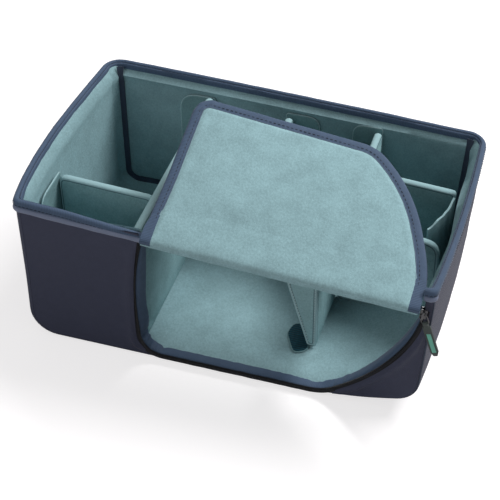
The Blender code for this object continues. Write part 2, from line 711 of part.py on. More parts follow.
def make_opening(build):
    """Tape on the cut edge of the opening, and the strip that carries the door above it."""
    curve = door_curve(OPENING_SIDE, JAMB_TOP, JAMB_TOP)
    rows = np.array([front_world(curve, JAMB_START), front_world(curve, WALL - SEW_GAP)])
    build.sheet("opening_binding", rows, JAMB_TAPE, -1, "binding_tape")
    left = DOOR_LEFT - ZIP_GAP + SEW_GAP
    section = np.array([
        (STRIP_LIP_START, 0),
        (WALL, 0),
        (WALL, STRIP_FOOT),
        (STRIP_START, STRIP_FOOT),
        (STRIP_START, STRIP_LIP),
        (STRIP_LIP_START, STRIP_LIP),
    ])
    drop = np.column_stack([np.full(len(section), left), section[:, 1]])
    outline = front_world(drop, section[:, 0])
    build.plate("hinge_strip", outline, (STRIP_RIGHT - left) * ALONG_RIM, "lining_loop")


def zip_strip(place, near, far, left_top, right_top, depth):
    """Grid of a zip tape between two offsets of the door outline."""
    return np.array([
        place(door_curve(near, left_top, right_top), depth),
        place(door_curve(far, left_top, right_top), depth),
    ])


def make_body_zip(build):
    """The bag's half of the zip: tape and coil."""
    inner = ZIP_GAP + SEW_GAP / 3
    points = zip_strip(front_world, inner, inner + ZIP_TAPE_WIDTH, ZIP_TOP, ZIP_TOP, -ZIP_TAPE_DEPTH)
    build.sheet("zip_tape_body", points, ZIP_TAPE, 1, "zip_tape")
    coil = front_world(door_curve(ZIP_GAP / 2 + COIL_OFF, ZIP_TOP, ZIP_TOP), -COIL_DEPTH)
    build.add("zip_coil_body", curve_mesh([coil], bevel_depth=COIL_RADIUS), "zip_coil")


def make_door_zip(build):
    """The door's half of the zip: tape and coil."""
    outer = -SEW_GAP / 3
    tops = (DOOR_ZIP_LEFT, DOOR_ZIP_RIGHT)
    points = zip_strip(door_world, outer - ZIP_TAPE_WIDTH, outer, *tops, -ZIP_TAPE_DEPTH)
    build.sheet("zip_tape_door", points, ZIP_TAPE, 1, "zip_tape", HINGE_POINT)
    coil = door_world(door_curve(ZIP_GAP / 2 - COIL_OFF, *tops), -COIL_DEPTH)
    build.add("zip_coil_door", curve_mesh([coil], bevel_depth=COIL_RADIUS), "zip_coil", HINGE_POINT)


def door_piece(build, name, top, foot, level, thickness, finish):
    """Flat layer of the door between two lines along the rim."""
    inset = DOOR_TAPE + DOOR_TAPE_EASE
    if foot is None:
        outline = door_curve(-inset, top, top)
    else:
        right_top = SWEEP_CENTRE_U + math.sqrt((DOOR_SWEEP - inset) ** 2 - top ** 2)
        right_foot = SWEEP_CENTRE_U + math.sqrt((DOOR_SWEEP - inset) ** 2 - foot ** 2)
        left = DOOR_LEFT + inset
        outline = np.array([[left, top], [left, foot], [right_foot, foot], [right_top, top]])
    build.plate(name, door_world(outline, level), thickness * DOOR_IN, finish, 0, HINGE_POINT)


def make_door(build):
    """Side door: cover, foam, lining, the thin zone at the hinge and the bound edge."""
    zone = HINGE_TOP + HINGE_ZONE
    door_piece(build, "door_cover", HINGE_TOP, None, 0, FABRIC, "shell_fabric")
    door_piece(build, "door_hinge_facing", HINGE_TOP, zone - SEW_GAP, PAD_START, LINING, "lining_loop")
    door_piece(build, "door_pad", zone, None, PAD_START, PAD, "foam")
    door_piece(build, "door_lining", zone, None, LINING_START, LINING, "lining_loop")
    top = WALL + DOOR_TAPE_RISE + DOOR_TAPE
    rows = np.array([
        door_world(door_curve(0, zone, zone), 0),
        door_world(door_curve(0, zone, zone), top),
        door_world(door_curve(-DOOR_TAPE_LEG, zone, zone), top),
    ])
    build.sheet("door_binding", rows, DOOR_TAPE, 1, "binding_tape", HINGE_POINT)


def slider_frame():
    """Matrix of the zip slider: out from the sweep's centre, down along the zip, out of the face."""
    angle = SLIDER_ANGLE
    out = math.cos(angle) * ALONG_RIM + math.sin(angle) * DOWN_FRONT
    down = -math.sin(angle) * ALONG_RIM + math.cos(angle) * DOWN_FRONT
    radius = DOOR_SWEEP + ZIP_GAP / 2
    place = FRONT_RIM + SWEEP_CENTRE_U * ALONG_RIM + radius * out
    return matrix_of(out, down, -INTO_BAG, place)


def matrix_of(x_axis, y_axis, z_axis, place):
    """Matrix from three axes and a place."""
    matrix = Matrix.Identity(4)
    for column, values in enumerate((x_axis, y_axis, z_axis, place)):
        for row in range(3):
            matrix[row][column] = values[row]
    return matrix


def box_mesh(low, high, frame):
    """Box between two corners of a local frame."""
    mesh_builder = bmesh.new()
    size = [high[axis] - low[axis] for axis in range(3)]
    centre = [(high[axis] + low[axis]) / 2 for axis in range(3)]
    scale = Matrix.Diagonal((*size, 1))
    bmesh.ops.create_cube(mesh_builder, size=1, matrix=frame @ Matrix.Translation(centre) @ scale)
    bmesh.ops.recalc_face_normals(mesh_builder, faces=mesh_builder.faces)
    mesh = bpy.data.meshes.new("box")
    mesh_builder.to_mesh(mesh)
    mesh_builder.free()
    return mesh


def add_cutter(build, name, mesh, origin):
    """Add a helper object to the cutters' collection."""
    mesh.transform(Matrix.Translation(-Vector(origin)))
    obj = bpy.data.objects.new(name, mesh)
    obj.location = origin
    build.cutters.objects.link(obj)
    return obj


def make_slider(build):
    """Zip slider: lid, sole and post between the coils, and the staple that holds the link."""
    frame = slider_frame()
    origin = FRONT_RIM + SWEEP_CENTRE_U * ALONG_RIM
    half = SLIDER_LENGTH / 2
    lid = box_mesh((-SLIDER_INNER, -half, SLIDER_LID), (SLIDER_OUTER, half, SLIDER_LID_TOP), frame)
    obj = build.add("zip_slider", lid, "slider_metal", origin)
    ease_edges(obj, SLIDER_BEVEL, 2)
    sole_foot = -(SLIDER_SOLE + SLIDER_SOLE_DEPTH)
    overlap = (SLIDER_LID_TOP - SLIDER_LID) / 2
    post_half = SLIDER_POST_LENGTH / 2
    post_low = (-SLIDER_POST, -post_half, sole_foot + SLIDER_SOLE_DEPTH / 2)
    post = box_mesh(post_low, (SLIDER_POST, post_half, SLIDER_LID + overlap), frame)
    sole_low = (-SLIDER_SOLE_HALF, -half, sole_foot)
    sole = box_mesh(sole_low, (SLIDER_SOLE_HALF, half, -SLIDER_SOLE), frame)
    join(obj, add_cutter(build, "slider_post", post, origin))
    join(obj, add_cutter(build, "slider_sole", sole, origin))
    join(obj, add_cutter(build, "slider_staple", staple_mesh(frame, overlap), origin))


def join(obj, other):
    """Join a helper object to a piece."""
    boolean(obj, other, "UNION")


def staple_mesh(frame, overlap):
    """Arch over the slider's lid, drawn along the zip and given its width."""
    foot = SLIDER_LID_TOP - overlap
    shoulder = STAPLE_TOP - STAPLE_BAR
    inner = STAPLE_HALF - STAPLE_LEG
    shape = [
        (-STAPLE_HALF, foot), (-STAPLE_HALF, shoulder), (-inner, STAPLE_TOP), (inner, STAPLE_TOP),
        (STAPLE_HALF, shoulder), (STAPLE_HALF, foot), (inner, foot), (inner, shoulder),
        (-inner, shoulder), (-inner, foot),
    ]
    middle = (SLIDER_OUTER - SLIDER_INNER) / 2
    points = [frame @ Vector((middle - STAPLE_WIDTH / 2, down, out)) for down, out in shape]
    across = frame.to_3x3() @ Vector((STAPLE_WIDTH, 0, 0))
    return plate_mesh(points, across)


def pull_frame():
    """Matrix of the hanging pull: across, down along the pull, out of the face."""
    place = slider_frame() @ Vector(((SLIDER_OUTER - SLIDER_INNER) / 2, 0, LINK_DEPTH))
    down = np.array([math.sin(PULL_TILT), 0, -math.cos(PULL_TILT)])
    across = np.array([math.cos(PULL_TILT), 0, math.sin(PULL_TILT)])
    return matrix_of(across, down, -INTO_BAG, place)


def make_pull_link(build, frame):
    """Wire ring through the staple."""
    half = LINK_WIDTH / 2 - LINK_CORNER
    low = LINK_LENGTH - LINK_CORNER
    quarter = math.pi / 2
    path = np.vstack([
        arc((half, LINK_CORNER), LINK_CORNER, -quarter, 0, ROUND_STEPS),
        arc((half, low), LINK_CORNER, 0, quarter, ROUND_STEPS),
        arc((-half, low), LINK_CORNER, quarter, 2 * quarter, ROUND_STEPS),
        arc((-half, LINK_CORNER), LINK_CORNER, 2 * quarter, 3 * quarter, ROUND_STEPS),
    ])
    points = [frame @ Vector((across, down, 0)) for across, down in path]
    mesh = curve_mesh([points], bevel_depth=LINK_WIRE, cyclic=True)
    build.add("pull_link", mesh, "slider_metal", frame.translation)


def puller_outline():
    """Long tag with a pointed foot, across and down from the link's lower bar."""
    half = PULLER_WIDTH / 2
    top = PULLER_NECK_LENGTH
    foot = top + PULLER_LENGTH
    shoulder = foot - PULLER_POINT
    return [(-half, top), (half, top), (half, shoulder), (half / 2, foot), (-half / 2, foot), (-half, shoulder)]


def neck_mesh(frame):
    """Sleeve round the link's lower bar, with the flat neck that joins it to the tag."""
    half = PULLER_THICK / 2
    foot = PULLER_NECK_LENGTH + PULLER_SLEEVE
    start = math.asin(half / PULLER_SLEEVE)
    outer = np.vstack([
        [[half, foot]],
        arc((0, 0), PULLER_SLEEVE, math.pi / 2 - start, start - 1.5 * math.pi, 4 * ROUND_STEPS),
        [[-half, foot]],
    ])
    bore = arc((0, 0), PULLER_BORE, 0, 2 * math.pi, 4 * ROUND_STEPS)[:-1]
    flat = [[(out, down, 0) for out, down in loop] for loop in (outer, bore)]
    mesh = curve_mesh(flat, extrude=PULLER_NECK / 2, cyclic=True)
    turn = Matrix(((0, 0, 1, 0), (0, 1, 0, 0), (1, 0, 0, 0), (0, 0, 0, 1)))
    mesh.transform(frame @ turn)
    mesh_builder = bmesh.new()
    mesh_builder.from_mesh(mesh)
    bmesh.ops.recalc_face_normals(mesh_builder, faces=mesh_builder.faces)
    mesh_builder.to_mesh(mesh)
    mesh_builder.free()
    return mesh


def make_puller(build, frame):
    """Rubber tag on the link's lower bar, with its teal inlay."""
    bar = frame @ Matrix.Translation((0, LINK_LENGTH, 0))
    half = PULLER_THICK / 2
    points = [bar @ Vector((across, down, -half)) for across, down in puller_outline()]
    thickness = bar.to_3x3() @ Vector((0, 0, PULLER_THICK))
    obj = build.plate("puller", points, thickness, "puller_rubber", PULLER_BEVEL, bar.translation)
    neck = add_cutter(build, "puller_neck", neck_mesh(bar), bar.translation)
    join(obj, neck)
    wide = INLAY_WIDTH / 2
    top = PULLER_NECK_LENGTH + INLAY_TOP
    floor = half - INLAY_THICK - INLAY_GAP
    pocket_low = (-wide - INLAY_GAP, top - INLAY_GAP, floor)
    pocket_high = (wide + INLAY_GAP, top + INLAY_LENGTH + INLAY_GAP, half + INLAY_THICK)
    pocket = add_cutter(build, "inlay_pocket", box_mesh(pocket_low, pocket_high, bar), bar.translation)
    boolean(obj, pocket, "DIFFERENCE")
    inlay = box_mesh((-wide, top, half - INLAY_THICK), (wide, top + INLAY_LENGTH, half), bar)
    build.add("puller_inlay", inlay, "puller_teal", bar.translation)


def back_face(left, right):
    """Front side of the back lining, the nearest between two places along the bag."""
    ends = np.array([[left, BAG_DEPTH - WALL, 0], [right, BAG_DEPTH - WALL, 0]])
    return float(to_world(ends)[:, 1].min()) + BAG_DEPTH / 2


def rounded_tab(left, right, foot, top, radius, round_left):
    """Tab outline with one rounded top corner."""
    quarter = math.pi / 2
    if round_left:
        curve = arc((left + radius, top - radius), radius, 2 * quarter, quarter, ROUND_STEPS)
        return np.vstack([[[left, foot]], curve, [[right, top], [right, foot]]])
    curve = arc((right - radius, top - radius), radius, 0, quarter, ROUND_STEPS)
    return np.vstack([[[right, foot]], curve, [[left, top], [left, foot]]])


def x_plate(build, name, outline, x, thickness, finish, bevel):
    """Plate standing square to X, its outline given as y, z."""
    outline = np.asarray(outline)
    points = np.column_stack([np.full(len(outline), x), outline])
    build.plate(name, plain_world(points), (thickness, 0, 0), finish, bevel)


def y_plate(build, name, outline, y, thickness, finish, bevel):
    """Plate standing square to Y, its outline given as x, z."""
    outline = np.asarray(outline)
    points = np.column_stack([outline[:, 0], np.full(len(outline), y), outline[:, 1]])
    build.plate(name, plain_world(points), (0, thickness, 0), finish, bevel)


def long_outline(x, front, back, drop, foot):
    """Outline y, z of a divider that runs to the back wall, cut over the seam there."""
    return [
        (front, foot),
        (back - BACK_CHAMFER_RUN, foot),
        (back, foot + BACK_CHAMFER_RISE),
        (back, rim_height(x, back) - drop),
        (front, rim_height(x, front) - drop),
    ]


def back_divider(build, name, x, front, drop, tab_left, tab_right, tab_foot, tab_top, radius, round_left):
    """Divider against the back wall, with its hook tab."""
    tab_back = back_face(tab_left, tab_right) - TAB_GAP
    end = tab_back - TAB - JOIN_GAP
    foot = floor_height(x + DIVIDER, WALL) + FLOOR_GAP
    outline = long_outline(x, front, end, drop, foot)
    x_plate(build, name + "_divider", outline, x, DIVIDER, "divider_loop", DIVIDER_BEVEL)
    tab = rounded_tab(tab_left, tab_right, tab_foot, tab_top, radius, round_left)
    y_plate(build, name + "_tab", tab, tab_back - TAB, TAB, "tab_hook", TAB_BEVEL)


def make_back_dividers(build):
    """The long divider of the left bay and the two short ones behind the long cross divider."""
    left_end = LEFT_LONG_X + DIVIDER
    top = rim_height(LEFT_LONG_X, BAG_DEPTH) - LEFT_LONG_DROP
    back_divider(build, "left_long", LEFT_LONG_X, LEFT_LONG_FRONT, LEFT_LONG_DROP, LEFT_LONG_TAB_X,
                 left_end, LEFT_LONG_TAB_FOOT, top, LEFT_LONG_TAB_ROUND, True)
    front = LONG_CROSS_Y + DIVIDER + FABRIC
    tab_right = BACK_LEFT_X + BACK_LEFT_TAB_WIDTH
    top = rim_height(tab_right, BAG_DEPTH) - BACK_TAB_DROP - SEAM_TAPE_LEG
    back_divider(build, "back_left", BACK_LEFT_X, front, BACK_LEFT_DROP, BACK_LEFT_X,
                 tab_right, BACK_LEFT_TAB_FOOT, top, BACK_TAB_ROUND, False)
    right_end = BACK_RIGHT_X + DIVIDER
    top = rim_height(BACK_RIGHT_X, BAG_DEPTH) - BACK_TAB_DROP
    back_divider(build, "back_right", BACK_RIGHT_X, front, BACK_RIGHT_DROP, right_end - BACK_RIGHT_TAB_WIDTH,
                 right_end, BACK_RIGHT_TAB_FOOT, top, BACK_TAB_ROUND, True)


def make_left_cross(build):
    """Cross divider of the left bay, with a tab on the end wall and one on the long divider."""
    y = LEFT_CROSS_Y
    inner_tab_x = LEFT_LONG_X - TAB_GAP - TAB
    right = inner_tab_x - JOIN_GAP
    radius = LEFT_CORNER - LEFT_CROSS_LEFT
    corner = arc((LEFT_CORNER, LEFT_CORNER), radius, math.pi, 1.5 * math.pi, ARC_STEPS)
    foot = corner[-1, 1]
    top_right = rim_height(right, y) - LEFT_CROSS_DROP
    top_left = rim_height(LEFT_CROSS_LEFT, y) - LEFT_CROSS_DROP
    outline = np.vstack([corner, [[right, foot], [right, top_right], [LEFT_CROSS_LEFT, top_left]]])
    y_plate(build, "left_cross_divider", outline, y, DIVIDER, "divider_loop", DIVIDER_BEVEL)
    end = y + DIVIDER
    wall_tab = rounded_tab(y - LEFT_CROSS_TAB_WIDTH, end, LEFT_CROSS_TAB_FOOT, top_left, LEFT_CROSS_TAB_ROUND, True)
    x_plate(build, "left_cross_wall_tab", wall_tab, LEFT_CROSS_TAB_X, LEFT_CROSS_TAB_THICK, "tab_hook", TAB_BEVEL)
    inner_top = rim_height(right, y) - INNER_TAB_DROP
    inner_tab = rounded_tab(y - INNER_TAB_WIDTH, end, INNER_TAB_FOOT, inner_top, LEFT_CROSS_TAB_ROUND, True)
    x_plate(build, "left_cross_inner_tab", inner_tab, inner_tab_x, TAB, "tab_hook", TAB_BEVEL)


def make_long_cross(build):
    """Long cross divider, with the end wing folded forward along the right end."""
    y = LONG_CROSS_Y
    base = floor_points(LONG_CROSS_LEFT, LONG_CROSS_RIGHT, WALL + FLOOR_GAP)
    head = [
        [LONG_CROSS_RIGHT, rim_height(LONG_CROSS_RIGHT, y) - LONG_CROSS_DROP],
        [LONG_CROSS_LEFT, rim_height(LONG_CROSS_LEFT, y) - LONG_CROSS_DROP],
    ]
    y_plate(build, "long_cross_divider", np.vstack([base, head]), y, DIVIDER, "divider_loop", DIVIDER_BEVEL)
    top = rim_height(WING_PATH[:, 0], WING_PATH[:, 1]) - WING_DROP
    low = np.column_stack([WING_PATH, np.full(len(WING_PATH), WING_FOOT)])
    high = np.column_stack([WING_PATH, top])
    build.sheet("long_cross_wing", plain_world(np.array([low, high])), TAB, 1, "divider_loop")


def make_right_cross(build):
    """Low cross divider of the right bay."""
    y = RIGHT_CROSS_Y
    base = floor_points(RIGHT_CROSS_LEFT, RIGHT_CROSS_RIGHT, WALL + FLOOR_GAP)
    top = rim_height(RIGHT_CROSS_RIGHT, y) - RIGHT_CROSS_DROP
    centre = (RIGHT_CROSS_RIGHT - RIGHT_CROSS_ROUND, top - RIGHT_CROSS_ROUND)
    corner = arc(centre, RIGHT_CROSS_ROUND, 0, math.pi / 2, ROUND_STEPS)
    head = [[RIGHT_CROSS_LEFT, rim_height(RIGHT_CROSS_LEFT, y) - RIGHT_CROSS_DROP]]
    outline = np.vstack([base, corner, head])
    y_plate(build, "right_cross_divider", outline, y, DIVIDER, "divider_loop", DIVIDER_BEVEL)


def make_front_divider(build):
    """Divider behind the door, with its end tab and the hook tab on the floor."""
    x = FRONT_DIVIDER_X
    foot = floor_height(x + DIVIDER + FRONT_DIVIDER_SHIFT, WALL) + FLOOR_GAP
    outline = [
        (FRONT_DIVIDER_FRONT, foot), (FRONT_DIVIDER_BACK, foot),
        (FRONT_DIVIDER_BACK, FRONT_DIVIDER_TOP), (FRONT_DIVIDER_FRONT, FRONT_DIVIDER_TOP),
    ]
    x_plate(build, "front_divider", outline, x, DIVIDER, "divider_loop", DIVIDER_BEVEL)
    tab_y = FRONT_DIVIDER_FRONT - JOIN_GAP - TAB
    end_tab = [
        (x - END_TAB_FOOT_LEFT, END_TAB_LOW), (x + END_TAB_RIGHT, END_TAB_LOW),
        (x + END_TAB_RIGHT, END_TAB_HIGH), (x - END_TAB_TOP_LEFT, END_TAB_HIGH),
        (x - END_TAB_BEND_LEFT, END_TAB_BEND),
    ]
    y_plate(build, "front_divider_end_tab", end_tab, tab_y, TAB, "divider_loop", TAB_BEVEL)
    floor_tab = np.array([x, FRONT_DIVIDER_FRONT]) + FLOOR_TAB_STEPS
    points = np.column_stack([floor_tab, np.full(len(floor_tab), floor_height(x, WALL) + FLOOR_GAP)])
    build.plate("front_divider_floor_tab", plain_world(points), (0, 0, TAB), "tab_hook", TAB_BEVEL)


def main():
    """Build the whole insert."""
    clear_scene()
    build = Builder()
    make_walls(build)
    make_back_seam_tape(build)
    make_front(build)
    make_rim_binding(build)
    make_front_hem_welt(build)
    make_opening(build)
    make_body_zip(build)
    make_door(build)
    make_door_zip(build)
    make_slider(build)
    frame = pull_frame()
    make_pull_link(build, frame)
    make_puller(build, frame)
    make_back_dividers(build)
    make_left_cross(build)
    make_long_cross(build)
    make_right_cross(build)
    make_front_divider(build)


main()
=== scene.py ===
# %% [markdown]
# A padded insert for a camera bag, dressed as cloth, foam, tape and zip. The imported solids
# give the places and the joints. Every soft piece is made again here as a surface: a formula
# of two parameters, worked out by numpy for a whole grid at once and handed to Blender.

# %% Load the solids
import math

import bmesh
import bpy
import numpy as np
from mathutils import Matrix, Vector


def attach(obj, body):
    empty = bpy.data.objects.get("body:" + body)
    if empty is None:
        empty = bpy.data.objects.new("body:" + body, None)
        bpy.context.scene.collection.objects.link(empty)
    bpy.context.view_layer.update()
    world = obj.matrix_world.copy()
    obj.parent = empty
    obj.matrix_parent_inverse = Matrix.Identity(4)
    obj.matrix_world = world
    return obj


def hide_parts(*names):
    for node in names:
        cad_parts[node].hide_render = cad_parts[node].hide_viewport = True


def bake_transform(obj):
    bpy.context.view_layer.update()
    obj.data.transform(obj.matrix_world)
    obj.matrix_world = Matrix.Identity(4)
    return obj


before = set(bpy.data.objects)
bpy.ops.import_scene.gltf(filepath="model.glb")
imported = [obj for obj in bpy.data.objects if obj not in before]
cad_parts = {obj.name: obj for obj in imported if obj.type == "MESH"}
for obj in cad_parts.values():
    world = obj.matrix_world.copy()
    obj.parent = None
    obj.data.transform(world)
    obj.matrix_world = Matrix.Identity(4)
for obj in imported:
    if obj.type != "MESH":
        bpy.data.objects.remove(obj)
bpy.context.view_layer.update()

# %% [markdown]
# The insert is a band of cloth that makes the left end, the base and the right end, closed by
# a back and a front. Its sizes could be read from the solids' boxes, but the soft pieces need
# the lines between the corners as well, so the same values are written again here, in metres.
# A wall's padding lies between WALL_START and WALL behind its face, and the outer cloth and the
# padding stop WALL_DROP and PAD_DROP below the rim. The cloth sags and leans: the LEAN, SLUMP
# and DIP values say how far.

# %% Sizes of the insert
LENGTH, DEPTH = 0.425, 0.263
FRONT_LEFT_RIM, FRONT_RIGHT_RIM, BACK_LEFT_RIM, BACK_RIGHT_RIM = 0.1807, 0.1551, 0.1770, 0.1610
LEFT_CORNER, RIGHT_CORNER = 0.030, 0.026
SWEEP_RADIUS, FLAT_END = 0.520, 0.272
FRONT_EDGE, BACK_EDGE = 0.0055, 0.018
LEFT_BOW, RIGHT_BOW, BACK_BOW = 0.0088, 0.0045, 0.002
SWEEP_ANGLE = math.asin((LENGTH - RIGHT_CORNER - FLAT_END) / (SWEEP_RADIUS - RIGHT_CORNER))
RIGHT_CENTRE_X = LENGTH - RIGHT_CORNER
RIGHT_CENTRE_Z = SWEEP_RADIUS - (SWEEP_RADIUS - RIGHT_CORNER) * math.cos(SWEEP_ANGLE)
CLOTH, WALL_START, WALL, WALL_DROP, PAD_DROP = 0.0010, 0.0013, 0.0096, 0.0024, 0.0044
FRONT_RIGHT_RISE, RING_STOP = 0.0170, 0.4148
RIGHT_LEAN, FRONT_SLUMP, FRONT_DIP = 0.0095, 0.0030, 0.0045


def fade(distance, start, stop):
    """Nought up to the start, one from the stop on, and an S-curve between them."""
    share = np.clip((distance - start) / (stop - start), 0, 1)
    return share * share * (3 - 2 * share)


def right_lean(x, z):
    """How far the right end leans in towards the floor: nought from 0.15 m up and left of x 0.06."""
    return RIGHT_LEAN * np.clip(1 - z / 0.15, 0, 1) * fade(x, 0.06, LENGTH / 2)


def front_slump(z):
    """How far the front leans out near the floor: most at the base, nought from half its height up."""
    return FRONT_SLUMP * (1 - fade(z, 0.0, 0.09))


def bag_place(x, y, z):
    """Plan places to model places: the middle of the footprint goes to the origin, and each wall
    bows out by its bow times one minus the square of the share of the way to its corners. The
    right end leans in and the front leans out towards the floor."""
    x, y, z = np.broadcast_arrays(x, y, z)
    x, y = x - LENGTH / 2, y - DEPTH / 2
    left = LEFT_BOW * (1 - 0.9 * y / DEPTH)
    side = np.where(x < 0, left, RIGHT_BOW) * (1 - (2 * y / DEPTH) ** 2)
    back = np.where(y > 0, BACK_BOW, 0) * (1 - (2 * x / LENGTH) ** 2)
    slump = front_slump(z) * fade(-y, 0.06, DEPTH / 2 - 0.005)
    x_out, y_out = x * (1 + 2 * side / LENGTH) - right_lean(x, z), y * (1 + 2 * back / DEPTH) - slump
    return np.stack([x_out, y_out, z], axis=-1)


def rim_height(x, y):
    """Height of the rim, straight between its four corners both ways."""
    front = FRONT_LEFT_RIM + (FRONT_RIGHT_RIM - FRONT_LEFT_RIM) * x / LENGTH
    back = BACK_LEFT_RIM + (BACK_RIGHT_RIM - BACK_LEFT_RIM) * x / LENGTH
    return front + (back - front) * y / DEPTH


def front_dip(x, y):
    """How far the rim of the front left wall sinks on its way to the door."""
    return FRONT_DIP * fade(x, 0.045, 0.139) * (1 - fade(y, 0.008, 0.020)) * (x < LENGTH / 2)


def wall_top(x, y):
    """Height of the walls and their tape: the rim, a dip beside the door, and a rise at the front right."""
    rise = FRONT_RIGHT_RISE * fade(x, 0.403, 0.411) * (1 - np.clip(y / DEPTH, 0, 1))
    return rim_height(x, y) + rise - front_dip(x, y)


def base_line(inset, corner_steps=9, flat_steps=8, sweep_steps=8):
    """Line x, z of the base at an inset: an arc, a straight run, a wide sweep and an arc."""
    left = np.linspace(math.pi, 1.5 * math.pi, corner_steps + 1)
    flat = np.linspace(LEFT_CORNER, FLAT_END, flat_steps + 1)[1:]
    sweep = np.linspace(0, SWEEP_ANGLE, sweep_steps + 1)[1:]
    right = np.linspace(SWEEP_ANGLE, math.pi / 2, corner_steps + 1)[1:]
    round_left, wide, round_right = LEFT_CORNER - inset, SWEEP_RADIUS - inset, RIGHT_CORNER - inset
    x = [LEFT_CORNER + round_left * np.cos(left), flat,
         FLAT_END + wide * np.sin(sweep), RIGHT_CENTRE_X + round_right * np.sin(right)]
    z = [LEFT_CORNER + round_left * np.sin(left), inset + 0 * flat,
         SWEEP_RADIUS - wide * np.cos(sweep), RIGHT_CENTRE_Z - round_right * np.cos(right)]
    return np.stack([np.concatenate(x), np.concatenate(z)], axis=-1)


def base_height(x, inset):
    """Height of the base line at an inset above a place along the bag."""
    line = base_line(inset)
    return np.interp(x, line[:, 0], line[:, 1])


print("rim falls from", FRONT_LEFT_RIM, "to", FRONT_RIGHT_RIM, "m along the front")

# %% [markdown]
# The side door is hinged on the front rim and lies open over the top. Points on the front wall
# are given as u along the rim and v down from it, and the same u, v on the open door. So one
# outline makes the door and its opening, and the cloth beside it is the same line moved.

# %% The front wall and the open door
SLOPE = math.atan2(FRONT_LEFT_RIM - FRONT_RIGHT_RIM, LENGTH)
ALONG = np.array([math.cos(SLOPE), 0, -math.sin(SLOPE)])
DOWN = np.array([-math.sin(SLOPE), 0, -math.cos(SLOPE)])
INWARD = np.array([0, 1, 0])
FRONT_RIM = np.array([-LENGTH / 2, -DEPTH / 2, FRONT_LEFT_RIM])
OPEN_ANGLE = math.radians(20)
HINGE_OUT, HINGE_TOP, HINGE_ZONE = 0.0005, 0.001, 0.011
HINGE_POINT = FRONT_RIM - HINGE_OUT * INWARD
DOOR_DOWN = math.cos(OPEN_ANGLE) * INWARD - math.sin(OPEN_ANGLE) * DOWN
DOOR_IN = -math.sin(OPEN_ANGLE) * INWARD - math.cos(OPEN_ANGLE) * DOWN
DOOR_LEFT, DOOR_RIGHT, DOOR_FOOT, DOOR_CORNER = 0.140, 0.414, 0.0114, 0.017
DOOR_SWEEP, DOOR_FILLET = 0.175, 0.045
SWEEP_U = DOOR_RIGHT - DOOR_SWEEP
DOOR_MIDDLE = np.array([0.27, 0.08])


def front_place(uv, depth):
    """Places u, v on the front wall at a depth behind its face."""
    places = FRONT_RIM + uv[..., :1] * ALONG + uv[..., 1:] * DOWN
    lean = right_lean(places[..., 0], places[..., 2])
    return places + np.stack([-lean, depth - front_slump(places[..., 2]), 0 * lean], axis=-1)


def door_place(uv, level):
    """Places u, v on the open door at a level in from its outer face. The free edge hangs a little
    under its own weight, by the square of the way from the hinge, and its two sides draw in."""
    u, v = uv[..., 0], uv[..., 1]
    away = fade(v, 0.01, 0.07)
    draw = 0.0018 * away * (1 - fade(u, 0.14, 0.24)) - 0.0042 * away * fade(u, 0.30, 0.41)
    high = np.broadcast_to(level, u.shape) + HINGE_OUT - 0.0032 * (np.clip(v, 0, 1) / 0.17) ** 2
    return HINGE_POINT + (u + draw)[..., None] * ALONG + v[..., None] * DOOR_DOWN + high[..., None] * DOOR_IN


def unit(vectors):
    """The same directions, each of length one; a vector of no length stays as it is."""
    return vectors / np.maximum(np.linalg.norm(vectors, axis=-1, keepdims=True), 1e-12)


def square_to(line):
    """Unit direction square to a flat line at each of its points."""
    step = np.gradient(line, axis=0)
    return unit(np.stack([-step[:, 1], step[:, 0]], axis=-1))


def outward(line):
    """The same direction along the door's outline, turned away from the door's middle."""
    out = square_to(line)
    return out * np.sign((out * (line - DOOR_MIDDLE)).sum(-1, keepdims=True))


def arc(centre, radius, start, stop, steps):
    """Points of a flat arc between two angles."""
    angle = np.linspace(start, stop, steps + 1)
    return np.stack([centre[0] + radius * np.cos(angle), centre[1] + radius * np.sin(angle)], axis=-1)


def door_line(offset, left_top, right_top, fine=2):
    """Door outline moved out by an offset: down the left side, along the foot and up the sweep."""
    normal = np.array([math.sin(SLOPE), math.cos(SLOPE)])
    along = np.array([math.cos(SLOPE), -math.sin(SLOPE)])
    reach = FRONT_LEFT_RIM - DOOR_FOOT
    corner_u = DOOR_LEFT + DOOR_CORNER
    corner = (corner_u, (reach - DOOR_CORNER - corner_u * normal[0]) / normal[1])
    low = reach - DOOR_FILLET - SWEEP_U * normal[0]
    side = math.sqrt((DOOR_SWEEP - DOOR_FILLET) ** 2 - low ** 2)
    fillet = np.array([SWEEP_U, 0]) + side * along + low * normal
    down = math.pi / 2 - SLOPE
    turn = math.atan2(fillet[1], fillet[0] - SWEEP_U)
    last = math.asin(right_top / (DOOR_SWEEP + offset))
    corner_arc = arc(corner, DOOR_CORNER + offset, math.pi, down, 6 * fine)
    fillet_arc = arc(fillet, DOOR_FILLET + offset, down, turn, 6 * fine)
    sweep_arc = arc((SWEEP_U, 0), DOOR_SWEEP + offset, turn, last, 10 * fine)[1:]
    straight = np.linspace([DOOR_LEFT - offset, left_top], corner_arc[0], 8 * fine + 1)[:-1]
    foot = np.linspace(corner_arc[-1], fillet_arc[0], 10 * fine + 1)[1:-1]
    return np.vstack([straight, corner_arc, foot, fillet_arc, sweep_arc])


def left_bulge(line, reach):
    """One at half height of the opening's left side, nought at its top, its foot and everywhere else."""
    return np.sin(math.pi * np.clip(line[:, 1] / reach, 0, 1)) * (1 - fade(line[:, 0], 0.15, 0.17))


def sweep_bulge(line, reach, start, stop):
    """One in the upper half of the opening's sweep, nought at its top, its foot and left of the start."""
    share = np.clip((line[:, 1] - 0.012) / reach, 0, 1)
    return np.sin(math.pi * share ** 0.8) * fade(line[:, 0], start, stop)


def opening_line(offset, left_top, right_top, fine=2):
    """The same outline on the bag, whose left side bows out a little at half its height."""
    line = door_line(offset, left_top, right_top, fine)
    return line - np.outer(0.0030 * left_bulge(line, 0.165), [1, 0])


